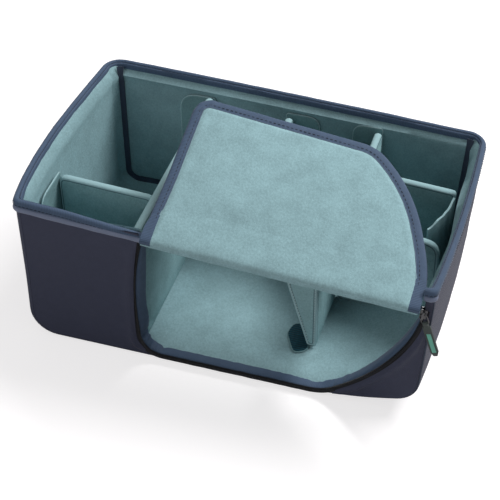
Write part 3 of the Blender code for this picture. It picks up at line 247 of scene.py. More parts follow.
def cover_line(offset, left_top, right_top, fine=2):
    """The opening's outline on the outer cloth, which draws back from the tape on both sides."""
    line = opening_line(offset, left_top, right_top, fine)
    back = 0.0024 * sweep_bulge(line, 0.125, 0.31, 0.35) + 0.0026 * left_bulge(line, 0.160)
    return line + back[:, None] * outward(line)


def zip_line(offset, left_top, right_top, fine=2):
    """Line of the bag's zip: it follows the outer cloth, and on the left it draws back under it."""
    line = cover_line(offset, left_top, right_top, fine)
    return line - np.outer(0.0034 * left_bulge(line, 0.150), [1, 0])


print("door outline has", len(door_line(0, 0, 0)), "points")

# %% [markdown]
# Each piece is a grid of points. A closed shell could be made by a Solidify modifier, but two
# grids joined at their borders keep each side's own shape, so a pad can swell on one side only.
# The grid's UV map is its own length both ways in metres, so a weave follows the cloth.

# %% Surfaces from grids
INSIDE = np.array([0, 0, 0.09])
TAPE, SOFT_FOLD = 0.0008, 0.0022
WELD, SHARP_FROM = 2e-6, math.radians(62)


def length_along(points, axis):
    """Running length of a grid along one axis, from zero at its first points."""
    step = np.linalg.norm(np.diff(points, axis=axis), axis=-1)
    start = np.zeros_like(np.take(step, [0], axis=axis))
    return np.concatenate([start, np.cumsum(step, axis=axis)], axis=axis)


def run_of(line):
    """Running length along one line of points, from zero at its first point."""
    return length_along(line[None], 1)[0]


def along_line(values, run, places):
    """Values of a line's points, read between them at the given running lengths."""
    return np.stack([np.interp(places, run, column) for column in values.T], axis=-1)


def grid_quads(rows, columns, start=0):
    """Corner numbers of every cell of a grid whose points are numbered row by row."""
    corner = start + np.arange(rows - 1)[:, None] * columns + np.arange(columns - 1)
    return np.stack([corner, corner + 1, corner + columns + 1, corner + columns], axis=-1).reshape(-1, 4)


def border(rows, columns):
    """Point numbers round the border of a grid, in order."""
    number = np.arange(rows * columns).reshape(rows, columns)
    return np.concatenate([number[0, :-1], number[:-1, -1], number[-1, :0:-1], number[:0:-1, 0]])


def new_mesh(name, points, faces, uv=None, border_gap=None):
    """Mesh from points and quads; points closer than 2 microns are merged and faces turned outwards."""
    mesh = bpy.data.meshes.new(name)
    mesh.from_pydata(points.reshape(-1, 3).tolist(), [], faces.tolist())
    if uv is not None:
        corners = np.zeros(len(mesh.loops), dtype=np.int32)
        mesh.loops.foreach_get("vertex_index", corners)
        layer = mesh.uv_layers.new(name="UVMap")
        layer.data.foreach_set("uv", uv.reshape(-1, 2)[corners].astype(np.float32).ravel())
    if border_gap is not None:
        layer = mesh.attributes.new("border", "FLOAT", "POINT")
        layer.data.foreach_set("value", border_gap.astype(np.float32).ravel())
    work = bmesh.new()
    work.from_mesh(mesh)
    bmesh.ops.remove_doubles(work, verts=work.verts, dist=WELD)
    bmesh.ops.recalc_face_normals(work, faces=work.faces)
    work.to_mesh(mesh)
    work.free()
    mesh.shade_smooth()
    mesh.set_sharp_from_angle(angle=SHARP_FROM)
    return mesh


def add_piece(mesh, finish, body, stands_for=()):
    """Object at the origin, called as its mesh, with one finish, riding on a body, for the named solids."""
    obj = bpy.data.objects.new(mesh.name, mesh)
    bpy.context.scene.collection.objects.link(obj)
    mesh.materials.append(finish)
    if body:
        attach(obj, body)
    if stands_for:
        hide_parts(*stands_for)
    return obj


def shell_mesh(name, near, far):
    """Closed shell between two grids: both grids, and a strip that joins their borders."""
    rows, columns = near.shape[:2]
    count = rows * columns
    edge = border(rows, columns)
    after = np.roll(edge, -1)
    strip = np.stack([edge, after, after + count, edge + count], axis=-1)
    faces = np.vstack([grid_quads(rows, columns), grid_quads(rows, columns, count)[:, ::-1], strip])
    uv = np.stack([length_along(near, 1), length_along(near, 0)], axis=-1)
    return new_mesh(name, np.concatenate([near, far]), faces, np.concatenate([uv, uv]))


def grid_normals(points, toward):
    """Unit normals of a grid from its two directions, turned to the side of a point or points."""
    normal = unit(np.cross(np.gradient(points, axis=0), np.gradient(points, axis=1)))
    return normal * np.sign(((toward - points) * normal).sum(-1, keepdims=True) + 1e-12)


def sheet_mesh(name, points, thickness, toward=INSIDE):
    """Closed thin sheet: a grid, and its copy moved by the thickness along the normals."""
    return shell_mesh(name, points, points + thickness * grid_normals(points, toward))


def waves(a, b, size, seed):
    """Soft random height, mostly within one of nought: seven sine waves of about one size, each in a
    direction of its own."""
    pick, count = np.random.default_rng(seed), 7
    turn = pick.uniform(0, 2 * math.pi, count)
    pace = 2 * math.pi / (size * pick.uniform(0.6, 1.7, count))
    phase = pick.uniform(0, 2 * math.pi, count)
    a, b = np.asarray(a)[..., None], np.asarray(b)[..., None]
    return np.sin(pace * (a * np.cos(turn) + b * np.sin(turn)) + phase).sum(-1) / count * 1.6


def crowded(steps, share):
    """Shares from nought to one that lie closer together at both ends."""
    even = np.linspace(0, 1, steps + 1)
    return (1 - share) * even + share * (0.5 - 0.5 * np.cos(math.pi * even))


print("grid of 3 by 4 has", len(grid_quads(3, 4)), "cells and", len(border(3, 4)), "border points")

# %% [markdown]
# A pad's cloth is cut a little larger than its foam and held by the seam, so it swells and
# puckers between the seams. Waves alone would look too even. A cloth simulation blows each
# shell up from inside while its seam is pinned, and no point may move further than a limit.

# %% Swelling by cloth simulation
SLACK, PRESSURE, SWELL_FRAMES = 0.006, 4.0, 20


def swell_by_cloth(obj, keep, limit):
    """Blow up a closed shell with its border pinned. A point within the keep distance of the border stays.
    The move of every other point is cut to an allowed size, which grows smoothly from 0 at the keep
    distance to the limit at three times that distance. The cloth starts a little too large by the slack."""
    mesh, scene = obj.data, bpy.context.scene
    before, gap = np.empty(3 * len(mesh.vertices)), np.empty(len(mesh.vertices))
    mesh.vertices.foreach_get("co", before)
    mesh.attributes["border"].data.foreach_get("value", gap)
    pinned = obj.vertex_groups.new(name="seam")
    pinned.add(np.flatnonzero(gap < keep).tolist(), 1.0, "REPLACE")
    cloth = obj.modifiers.new("swell", "CLOTH")
    cloth.collision_settings.use_collision = False
    values = cloth.settings
    values.quality, values.mass = 5, 0.3
    values.tension_stiffness = values.compression_stiffness = 15
    values.bending_stiffness = 0.2
    values.shrink_min = -SLACK
    values.use_pressure, values.uniform_pressure_force = True, PRESSURE
    values.effector_weights.gravity = 0
    values.vertex_group_mass, values.pin_stiffness = "seam", 1.0
    cloth.point_cache.frame_end = SWELL_FRAMES
    for number in range(1, SWELL_FRAMES + 1):
        scene.frame_set(number)
    after = np.empty_like(before)
    made = obj.evaluated_get(bpy.context.evaluated_depsgraph_get()).data
    made.vertices.foreach_get("co", after)
    obj.modifiers.remove(cloth)
    obj.vertex_groups.clear()
    scene.frame_set(1)
    move = (after - before).reshape(-1, 3)
    size = np.linalg.norm(move, axis=-1, keepdims=True)
    allowed = limit * fade(gap, keep, 3 * keep)[:, None]
    move = move * np.minimum(1, allowed / np.maximum(size, 1e-9))
    mesh.vertices.foreach_set("co", (before.reshape(-1, 3) + move).ravel())
    mesh.update()
    print(obj.name, "swells by up to", round(float(np.linalg.norm(move, axis=-1).max()) * 1000, 2), "mm")


# %% [markdown]
# A foam board sewn into cloth is flat in its middle and round at its edges. It could be a
# beveled box, but its outline is free, so its half thickness is a formula of the distance to
# the outline: a quarter circle near the edge, then flat, with a shallow dip where it is sewn.

# %% Padded slabs from an outline


def edge_distance(flat, outline):
    """Distance of each point to a closed outline: to the nearest place on any of its sides."""
    start, side = outline, np.roll(outline, -1, axis=0) - outline
    gap = flat[..., None, :] - start
    share = np.clip((gap * side).sum(-1) / np.maximum((side * side).sum(-1), 1e-15), 0, 1)
    return np.sqrt(((gap - share[..., None] * side) ** 2).sum(-1).min(-1))


def fine_outline(outline, step):
    """Outline with points no further apart than the step; its corners stay."""
    outline = np.asarray(outline, dtype=float)
    parts = []
    for a, b in zip(outline, np.roll(outline, -1, axis=0)):
        parts.append(np.linspace(a, b, max(2, int(np.linalg.norm(b - a) / step) + 2))[:-1])
    return np.vstack(parts)


def rings(outline, depths):
    """Copies of an outline shrunk towards its middle, about the given depths inside it, then its middle.
    Also each point's distance to the outline, nought on the outline itself."""
    middle = (outline.max(0) + outline.min(0)) / 2
    reach = edge_distance(middle[None], outline)[0]
    depths = np.asarray(depths, dtype=float)
    deep = np.append(depths[depths < 0.9 * reach], np.linspace(0.92 * reach, reach, 3))
    share = 1 - deep / reach
    closed = np.vstack([outline, outline[:1]])
    flat = middle + share[:, None, None] * (closed - middle)
    distance = edge_distance(flat, outline)
    distance[0] = 0
    return flat, distance


def close_rings(*grids):
    """Each grid's last column becomes its first, so the rings close without a step."""
    for grid in grids:
        grid[:, -1] = grid[:, 0]


def slab_levels(distance, low, high, round_off):
    """Levels of both faces: the middle level, plus and minus half the thickness times a quarter circle."""
    share = np.sqrt(1 - (1 - np.clip(distance / round_off, 0, 1)) ** 2)
    middle, half = (low + high) / 2, (high - low) / 2
    return middle - half * share, middle + half * share


def ring_mesh(name, flat, near, far, gap):
    """Closed shell from two grids of rings that meet at their outer ring; the gap to the border is kept."""
    rows, columns = flat.shape[:2]
    faces = np.vstack([grid_quads(rows, columns), grid_quads(rows, columns, rows * columns)[:, ::-1]])
    return new_mesh(name, np.concatenate([near, far]), faces, np.concatenate([flat, flat]), border_gap=gap)


def slab_mesh(name, outline, place, low, high, round_off, seed, swell=0, seam=None, step=0.006):
    """Padded slab: rings inside the outline, both faces at their levels, with a swell and a sewn dip."""
    outline = fine_outline(outline, step)
    depths = np.concatenate([round_off * np.array([0, 0.04, 0.14, 0.3, 0.5, 0.75, 1.0, 1.3]),
                             round_off * 1.3 + 0.0012 * np.arange(1, 8), 0.02 + 0.006 * np.arange(12)])
    depths = np.unique(np.round(depths, 6))
    flat, distance = rings(outline, depths)
    under, over = slab_levels(distance, low, high, round_off)
    puff = swell * fade(distance, 0.002, 0.016) * (1 + 0.5 * waves(flat[..., 0], flat[..., 1], 0.06, seed))
    if seam is not None:
        puff = puff - 0.0007 * np.exp(-((distance - seam) / 0.0008) ** 2)
    ripple = 0.00018 * fade(distance, 0, 0.004) * waves(flat[..., 0], flat[..., 1], 0.022, seed + 5)
    close_rings(puff, ripple)
    near, far = place(flat, under - puff - ripple), place(flat, over + puff + ripple)
    return ring_mesh(name, flat, near, far, np.concatenate([distance, distance]))


edge_levels = slab_levels(np.array([0, 0.002, 0.0045]), 0, 0.009, 0.0045)[1]
print("quarter-circle edge levels:", [float(round(v, 4)) for v in edge_levels])

# %% [markdown]
# Piping, hems and thread are round pieces along a path. A curve object with a bevel would do,
# but a profile carried along the path by numpy gives a mesh at once, and the same profile can
# be squeezed or waved. Thread is many short stitches: one small form repeated along the path.

# %% Tubes and stitches


def resample(path, step=None, count=None):
    """Path with evenly spaced points, by their count or about a step apart."""
    run = run_of(path)
    return along_line(path, run, np.linspace(0, run[-1], count or max(2, int(run[-1] / step) + 1)))


def path_frames(path, up):
    """Along, side and up directions of a path: side is along crossed with the wanted up."""
    along = unit(np.gradient(path, axis=0))
    side = unit(np.cross(along, np.broadcast_to(up, path.shape)))
    return along, side, np.cross(side, along)


def tube_mesh(name, path, wide, tall, up, sides, closed=False):
    """Round tube: at each point of a path a circle, wide across and tall up; its ends close to points."""
    side, top = path_frames(path, up)[1:]
    if closed:
        path, side, top = (np.vstack([item, item[:1]]) for item in (path, side, top))
    angle = np.linspace(0, 2 * math.pi, sides + 1)
    wide, tall = np.broadcast_to(wide, len(path)).copy(), np.broadcast_to(tall, len(path)).copy()
    if not closed:
        path = np.vstack([path[:1], path, path[-1:]])
        side, top = np.vstack([side[:1], side, side[-1:]]), np.vstack([top[:1], top, top[-1:]])
        wide, tall = np.pad(wide, 1), np.pad(tall, 1)
    ring = np.cos(angle)[None, :, None] * wide[:, None, None] * side[:, None]
    ring = ring + np.sin(angle)[None, :, None] * tall[:, None, None] * top[:, None]
    points = path[:, None] + ring
    uv = np.stack(np.broadcast_arrays(run_of(path)[:, None], angle * np.max(wide)), axis=-1)
    return new_mesh(name, points, grid_quads(*points.shape[:2]), uv)


STITCH_SIDES = 5
STITCH_SHAPE = [(-0.5, 0.0, -0.9), (-0.33, 0.85, 0.15), (0.33, 0.85, 0.15), (0.5, 0.0, -0.9)]


def stitch_mesh(name, paths, ups, length, pitch, radius=0.00035):
    """Thread: at each pitch along each path a small five-sided spindle, its ends sunk in the cloth.
    Its shape gives shares: the place along its length, the width and the lift in radii."""
    angle = np.append(np.linspace(0, 2 * math.pi, STITCH_SIDES + 1)[:-1], 0)
    base = np.array([np.stack([np.full(len(angle), place * length), wide * radius * np.cos(angle),
                               radius * (wide * np.sin(angle) + lift)], axis=-1)
                     for place, wide, lift in STITCH_SHAPE])
    cell, size = grid_quads(*base.shape[:2]), base.shape[0] * base.shape[1]
    points, faces, total = [], [], 0
    for path, up in zip(paths, ups):
        run = run_of(path)
        places = np.arange(pitch / 2, run[-1], pitch)
        spot = along_line(path, run, places)
        axes = np.stack(path_frames(spot, along_line(np.broadcast_to(up, path.shape), run, places)), axis=1)
        made = spot[:, None] + np.einsum("kj,njc->nkc", base.reshape(-1, 3), axes)
        faces.append((cell[None] + total + (np.arange(len(spot)) * size)[:, None, None]).reshape(-1, 4))
        points.append(made.reshape(-1, 3))
        total += len(spot) * size
    return new_mesh(name, np.vstack(points), np.vstack(faces))


print("a stitch has", (len(STITCH_SHAPE) - 1) * STITCH_SIDES, "faces")

# %% [markdown]
# The lining is brushed loop fabric, dusty teal and matt, with short grain and a soft bloom at
# grazing angles. An image of cloth could be used, but noise at three sizes gives the same
# mottling without a repeat: fine fibre, brushed patches and the lie of the nap.

# %% Finishes
finishes = {}
EDGE_SEAM = 0.0030
WAVES_PER_PITCH = 0.314
GRAIN = 900.0


def feed(tree, socket, value):
    """Link an output to a socket, or give the socket a plain value."""
    if isinstance(value, bpy.types.NodeSocket):
        tree.links.new(value, socket)
    else:
        socket.default_value = value


def node(tree, kind, inputs=(), **settings):
    """Add a node with its settings, then feed its inputs, which go by name or number."""
    made = tree.nodes.new(kind)
    for key, value in settings.items():
        setattr(made, key, value)
    for key, value in dict(inputs).items():
        feed(tree, made.inputs[key], value)
    return made


def start_finish(name, roughness, sheen=0.0, metallic=0.0, specular=0.5):
    """New material with its shader's plain values set on the shader itself."""
    material = bpy.data.materials.new(name)
    material.use_nodes = True
    shader = material.node_tree.nodes["Principled BSDF"]
    shader.inputs["Roughness"].default_value = roughness
    shader.inputs["Metallic"].default_value = metallic
    shader.inputs["Specular IOR Level"].default_value = specular
    shader.inputs["Sheen Weight"].default_value = sheen
    shader.inputs["Sheen Roughness"].default_value = 0.5
    finishes[name] = material
    return material.node_tree, shader


def mix_colours(tree, factor, first, second, blend_type="MIX"):
    """Mix of two colours, each an output or a plain colour."""
    made = node(tree, "ShaderNodeMix", {0: factor}, data_type="RGBA", blend_type=blend_type)
    for number, colour in ((6, first), (7, second)):
        feed(tree, made.inputs[number], (*colour, 1) if isinstance(colour, tuple) else colour)
    return made.outputs[2]


def shade_of(tree, value, low, high, colour_low, colour_high):
    """Colour that runs between two colours as a value runs from low to high."""
    spread = node(tree, "ShaderNodeMapRange", {"Value": value, "From Min": low, "From Max": high})
    return mix_colours(tree, spread.outputs["Result"], colour_low, colour_high)


def maths(tree, operation, *values):
    """Result of an operation on values, each an output or a plain number."""
    return node(tree, "ShaderNodeMath", enumerate(values), operation=operation).outputs[0]


def blend_of(tree, *parts):
    """Sum of outputs, each times its share."""
    total = maths(tree, "MULTIPLY", *parts[0])
    for value, share in parts[1:]:
        total = maths(tree, "ADD", total, maths(tree, "MULTIPLY", value, share))
    return total


def noise(tree, coords, scale, detail=3.0, stretch=(1, 1, 1)):
    """Noise on a coordinate output, stretched by the given shares."""
    placed = node(tree, "ShaderNodeMapping", {"Scale": stretch, "Vector": coords}).outputs[0]
    made = node(tree, "ShaderNodeTexNoise", {"Scale": scale, "Detail": detail, "Vector": placed})
    return made.outputs["Fac"]


def bump(tree, shader, height, distance, strength):
    """Drive the shader's normal by a height in metres."""
    made = node(tree, "ShaderNodeBump", {"Strength": strength, "Distance": distance, "Height": height})
    tree.links.new(made.outputs["Normal"], shader.inputs["Normal"])


def two_shades(colour, spread):
    """A colour darkened and lightened by a share."""
    return tuple(value * (1 - spread) for value in colour), tuple(value * (1 + spread) for value in colour)


def edge_band(tree, inner, colour):
    """Lighter strip inside a board's seam and a dark line at it, by the board's own distance attribute."""
    border = node(tree, "ShaderNodeAttribute", attribute_name="border").outputs["Fac"]
    strip = shade_of(tree, border, EDGE_SEAM - 0.0004, EDGE_SEAM, (1, 1, 1), (0, 0, 0))
    cloth = mix_colours(tree, strip, inner, colour)
    away = maths(tree, "ABSOLUTE", maths(tree, "SUBTRACT", border, EDGE_SEAM))
    line = shade_of(tree, away, 0.0003, 0.0008, (0.40, 0.42, 0.45), (1, 1, 1))
    return mix_colours(tree, 1.0, cloth, line, "MULTIPLY")


def brushed_finish(name, colour, sheen=0.20, edge=None):
    """Brushed loop fabric: fine fibre, brushed patches, and nap that lies along one direction."""
    tree, shader = start_finish(name, 0.92, sheen=sheen, specular=0.15)
    coords = node(tree, "ShaderNodeTexCoord").outputs["Object"]
    fibre = noise(tree, coords, 1500.0, 2.0)
    nap = noise(tree, coords, 520.0, 3.0, (1.0, 0.75, 0.85))
    patch = noise(tree, coords, 55.0, 4.0)
    shader.inputs["Sheen Tint"].default_value = (*colour, 1)
    mixed = blend_of(tree, (fibre, 0.35), (nap, 0.35), (patch, 0.30))
    cloth = shade_of(tree, mixed, 0.38, 0.62, *two_shades(colour, 0.17))
    tree.links.new(edge_band(tree, cloth, edge) if edge else cloth, shader.inputs["Base Color"])
    bump(tree, shader, blend_of(tree, (fibre, 0.4), (nap, 1.0)), 0.0005, 0.55)
    return finishes[name]


def woven_finish(name, colour, pitch, spread=0.10, roughness=0.7, sheen=0.1, depth=0.00018, ribs="",
                 specular=0.3):
    """Woven cloth on the piece's own UV map: threads both ways, or ribs one way only."""
    tree, shader = start_finish(name, roughness, sheen=sheen, specular=specular)
    coords = node(tree, "ShaderNodeTexCoord").outputs
    threads = [node(tree, "ShaderNodeTexWave", {"Scale": WAVES_PER_PITCH / pitch, "Vector": coords["UV"]},
                    wave_type="BANDS", bands_direction=axis).outputs["Fac"] for axis in ribs or "XY"]
    weave = threads[0] if ribs else maths(tree, "MULTIPLY", *threads)
    patch = noise(tree, coords["Object"], 160.0, 4.0)
    speck = noise(tree, coords["Object"], 1300.0, 2.0)
    mixed = blend_of(tree, (weave, 0.30), (patch, 0.35), (speck, 0.35))
    cloth = shade_of(tree, mixed, 0.33, 0.62, *two_shades(colour, spread))
    tree.links.new(cloth, shader.inputs["Base Color"])
    bump(tree, shader, blend_of(tree, (weave, 1.0), (speck, 0.5)), depth, 0.6)
    return finishes[name]


def plain_finish(name, colour, roughness, metallic=0.0):
    """Moulded or metal finish: one colour with fine grain and slight wear in its roughness."""
    tree, shader = start_finish(name, roughness, metallic=metallic)
    coords = node(tree, "ShaderNodeTexCoord").outputs["Object"]
    fine, wide = noise(tree, coords, GRAIN), noise(tree, coords, GRAIN / 12)
    cloth = shade_of(tree, blend_of(tree, (fine, 0.5), (wide, 0.5)), 0.35, 0.65, *two_shades(colour, 0.08))
    tree.links.new(cloth, shader.inputs["Base Color"])
    rough = node(tree, "ShaderNodeMapRange", {"Value": wide, "To Min": max(0.05, roughness - 0.08),
                                              "To Max": min(1.0, roughness + 0.08)})
    tree.links.new(rough.outputs["Result"], shader.inputs["Roughness"])
    bump(tree, shader, fine, 0.0001, 0.5)
    return finishes[name]


LINING = brushed_finish("brushed lining", (0.270, 0.425, 0.460))
# Painted shade: the back wall's lining is the same cloth as the rest, its colour darkened to about 0.82 of
# the lining's.
PAINTED_SHADE_LINING = brushed_finish("lining with painted shade", (0.222, 0.350, 0.382))
DIVIDER_CLOTH = brushed_finish("divider cloth", (0.235, 0.390, 0.415), edge=(0.300, 0.460, 0.490))
SHELL = woven_finish("coated shell cloth", (0.044, 0.050, 0.088), 0.0006, roughness=0.62, sheen=0.05)
BINDING = woven_finish("slate binding tape", (0.054, 0.089, 0.152), 0.0017, spread=0.17, roughness=0.68,
                       ribs="Y")
SELVEDGE = woven_finish("tape edge", (0.100, 0.140, 0.205), 0.0010, roughness=0.7)
SEAM_TAPE = woven_finish("navy seam tape", (0.040, 0.055, 0.090), 0.0008, roughness=0.75)
HEM = woven_finish("hem cloth", (0.186, 0.222, 0.325), 0.0006, roughness=0.6, sheen=0.15)
ZIP_TAPE = woven_finish("zip tape", (0.010, 0.011, 0.015), 0.0007, roughness=0.7)
HOOK = brushed_finish("hook tab", (0.170, 0.290, 0.310), sheen=0.1)
RIBBED_HOOK = woven_finish("ribbed hook tape", (0.007, 0.052, 0.074), 0.0030, spread=0.45, roughness=0.6,
                           depth=0.0006, ribs="Y", specular=0.15)
PIPING = brushed_finish("light piping", (0.330, 0.480, 0.510), sheen=0.3)
COIL = plain_finish("zip coil", (0.014, 0.015, 0.018), 0.42)
METAL = plain_finish("gunmetal", (0.150, 0.150, 0.155), 0.36, metallic=1.0)
RUBBER = plain_finish("dark rubber", (0.045, 0.060, 0.056), 0.55)
TEAL_RUBBER = plain_finish("teal rubber", (0.135, 0.430, 0.330), 0.5)
DARK_THREAD = plain_finish("dark thread", (0.012, 0.015, 0.028), 0.7)
LIGHT_THREAD = plain_finish("light thread", (0.420, 0.580, 0.600), 0.7)
print("finishes:", len(finishes))

# %% [markdown]
# The outer band is one strip of coated cloth. It could be four panels, but the real one has no
# seam at its rounded lower corners, so its section is carried along one line: down the left
# end, along the base and up the right end. Its edges roll to the front and to the back.

# %% Outer band
ENDS, CORNER, FLAT, SWEEP = 14, 9, 10, 10
BAND_PARTS = [ENDS, CORNER + 1, FLAT, SWEEP, CORNER, ENDS]
BAND_COLUMNS = sum(BAND_PARTS)


def band_place(inset, y, drop):
    """Places of the band: inset and y are grids whose columns run along the line. The uprights are
    straight, the corners and the sweep are arcs whose radius shrinks by the inset."""
    cut = np.cumsum(BAND_PARTS)
    parts = np.split(inset, cut[:-1], axis=1)
    high = np.split(y, cut[:-1], axis=1)
    up = np.linspace(1, 0, ENDS + 1)[:-1]
    left = np.linspace(math.pi, 1.5 * math.pi, CORNER + 1)
    run = np.linspace(LEFT_CORNER, FLAT_END, FLAT + 1)[1:]
    turn = np.linspace(0, SWEEP_ANGLE, SWEEP + 1)[1:]
    right = np.linspace(SWEEP_ANGLE, math.pi / 2, CORNER + 1)[1:]
    rise = up[::-1]
    x = np.hstack([
        parts[0], LEFT_CORNER + (LEFT_CORNER - parts[1]) * np.cos(left), run + 0 * parts[2],
        FLAT_END + (SWEEP_RADIUS - parts[3]) * np.sin(turn),
        RIGHT_CENTRE_X + (RIGHT_CORNER - parts[4]) * np.sin(right), LENGTH - parts[5]])
    left_top = wall_top(parts[0], high[0]) - drop
    right_top = wall_top(LENGTH - parts[5], high[5]) - drop
    z = np.hstack([
        LEFT_CORNER + up * (left_top - LEFT_CORNER), LEFT_CORNER + (LEFT_CORNER - parts[1]) * np.sin(left),
        parts[2], SWEEP_RADIUS - (SWEEP_RADIUS - parts[3]) * np.cos(turn),
        RIGHT_CENTRE_Z - (RIGHT_CORNER - parts[4]) * np.cos(right),
        RIGHT_CENTRE_Z + rise * (right_top - RIGHT_CENTRE_Z)])
    return bag_place(x, y, z)


def band_section(level, front_start, back_stop, straight, round_steps):
    """Inset and y across the band at a level: a straight run, then an arc round the back edge."""
    run = np.linspace(front_start, DEPTH - BACK_EDGE, straight + 1)[:-1]
    turn = np.linspace(0, back_stop, round_steps + 1)
    inset = np.concatenate([0 * run + level, BACK_EDGE - (BACK_EDGE - level) * np.cos(turn)])
    y = np.concatenate([run, DEPTH - BACK_EDGE + (BACK_EDGE - level) * np.sin(turn)])
    return inset, y


def make_outer_band():
    """Outer band: a front roll of a quarter circle, a straight run and a back roll, as one cloth."""
    roll = np.linspace(0, math.pi / 2, 7)[:-1]
    inset, y = band_section(0, FRONT_EDGE, math.pi / 2, 18, 9)
    inset = np.concatenate([FRONT_EDGE * (1 - np.sin(roll)), inset])
    y = np.concatenate([FRONT_EDGE * (1 - np.cos(roll)), y])
    inset, y = (np.repeat(item[:, None], BAND_COLUMNS, axis=1) for item in (inset, y))
    points = band_place(inset, y, WALL_DROP)
    along, across = length_along(points, 1), length_along(points, 0)
    middle = fade(across, 0.01, 0.05) * fade(across.max() - across, 0.01, 0.05)
    out = -grid_normals(points, INSIDE)
    up = fade(points[..., 2], 0.004, 0.03)
    points = points + out * (up * middle * 0.0004 * (1 + waves(along, across, 0.05, 3)))[..., None]
    band = add_piece(sheet_mesh("outer_band", points, CLOTH), SHELL, "bag", ["gusset"])
    size = (float(along[:, -1].mean()), float(across[-1].mean()))
    return size


def make_front_seam():
    """Narrow dark seam on the front roll of the right end, from the sweep up to below the hem.
    It lies 0.95 radians round the roll and starts two columns into the sweep."""
    turn, start = 0.95, sum(BAND_PARTS[:3]) + 2
    inset = np.full((1, BAND_COLUMNS), FRONT_EDGE * (1 - math.sin(turn)))
    y = np.full((1, BAND_COLUMNS), FRONT_EDGE * (1 - math.cos(turn)))
    path = resample(band_place(inset, y, 0.0150)[0, start:], step=0.004)
    width = 0.0008 * fade(np.linspace(0, 1, len(path)), 0, 0.25) + 0.0001
    add_piece(tube_mesh("front_seam", path, width, width, (0, -1, 0), sides=8), SEAM_TAPE, "bag")


band_size = make_outer_band()
make_front_seam()
print("outer band cut to", [round(v, 3) for v in band_size])

# %% [markdown]
# Inside the band lies foam under the lining. The padding is thin at the top, where the rim tape
# pinches it, swells just below, and follows the round corner at the back. The same section and
# line as the outer band are used, at two levels that meet along every edge.

# %% Inner band and back wall
RIM_WIDTH, TAPE_OVERLAP = 0.0070, 0.0011


def tape_share(x, y):
    """Width of the rim tape as a share of its width on the front: narrower at the ends and the back."""
    left, right, back = 1 - fade(x, 0.008, 0.022), fade(x, 0.403, 0.417), fade(y, 0.230, 0.254)
    away = fade(y, 0.004, 0.030)
    return 1 - away * (0.12 * left + 0.16 * right) - 0.15 * back * (1 - left) * (1 - right)


def below_rim_swell(distance):
    """Extra thickness below the rim: thin where the tape pinches it, then a soft roll, then nothing."""
    pinch = -0.0032 * (1 - fade(distance, 0.0040, 0.0090))
    return pinch + 0.0020 * fade(distance, 0.0046, 0.0100) * (1 - fade(distance, 0.0110, 0.0175))


def under_tape(distance, start):
    """Highest level of a lining below the rim: the tape's own inner side, then free from the tape's end."""
    return start + 0.0090 * fade(distance, 0.0050, 0.0130)


def plan_of(points):
    """Plan x and y of model places, counted from the front left corner."""
    return points[..., 0] + LENGTH / 2, points[..., 1] + DEPTH / 2


def band_grids():
    """Outer and inner inset and y of the padding. The inner side cuts straight across the round back corner,
    under the corner tape, and the two rows before it are drawn close to keep the bend there narrow."""
    start, stop, straight, back_off = 0.0099, math.radians(66), 22, 0.0040
    outer = band_section(WALL_START, start, stop, straight, 8)
    inset, y = band_section(WALL, start, stop, straight, 8)
    run, corner = np.linspace(0, 1, 9) ** 0.9, y[straight]
    inset[straight:] = WALL + (inset[-1] - WALL) * run
    y[straight:] = corner - back_off + (y[-1] - corner + back_off) * run
    y[straight - 1], y[straight - 2] = y[straight] - 0.0012, y[straight] - 0.0040
    return [np.repeat(item[:, None], BAND_COLUMNS, axis=1) for item in (*outer, inset, y)]


def make_inner_band():
    """Padding of the ends and base: level from outside to inside by the distance to its four edges."""
    outer_inset, outer_y, inner_inset, inner_y = band_grids()
    middle = band_place((outer_inset + inner_inset) / 2, (outer_y + inner_y) / 2, PAD_DROP)
    along, across = length_along(middle, 1), length_along(middle, 0)
    from_top = np.minimum(along, along[:, -1:] - along)
    from_side = np.minimum(across, across[-1:] - across)
    share = np.sqrt(1 - (1 - np.clip(np.minimum(from_side, from_top) / 0.004, 0, 1)) ** 2)
    x, y = plan_of(middle)
    below = from_top - (wall_top(x, y) - rim_height(x, y) - PAD_DROP + WALL_DROP)
    uneven = 0.0004 * (1 + waves(along, across, 0.07, 11)) * fade(from_side, 0.004, 0.03)
    roll = 0.0034 * fade(below, 0.0050, 0.0085) * (1 - fade(below, 0.0095, 0.0230))
    roll = roll * fade(middle[..., 0], 0.15, 0.19)
    extra = below_rim_swell(below) + uneven + roll
    span = WALL - WALL_START
    low, high = 0.5 - 0.5 * share, 0.5 + 0.5 * share + share * extra / span
    most = under_tape(below, RIM_WIDTH * tape_share(x, y) - TAPE_OVERLAP)
    high = np.minimum(high, (most - WALL_START) / span)
    far, near = (band_place(outer_inset + (inner_inset - outer_inset) * level,
                            outer_y + (inner_y - outer_y) * level, PAD_DROP)
                 for level in (np.minimum(low, high), high))
    mesh = shell_mesh("inner_band", near, far)
    nodes = ["left_pad", "left_lining", "right_pad", "right_lining", "base_pad", "base_lining"]
    add_piece(mesh, LINING, "bag", nodes)
    return mesh


inner_band = make_inner_band()


def back_grid(inset, drop):
    """Columns of 26 steps that stand on the base line at an inset and reach up to a drop below the rim."""
    foot = base_line(inset, 12, 14, 14)
    share = crowded(26, 0.7)[:, None]
    top = rim_height(foot[:, 0], DEPTH) - drop
    x = foot[:, 0] + 0 * share
    z = foot[:, 1] + (top - foot[:, 1]) * share
    return x, z


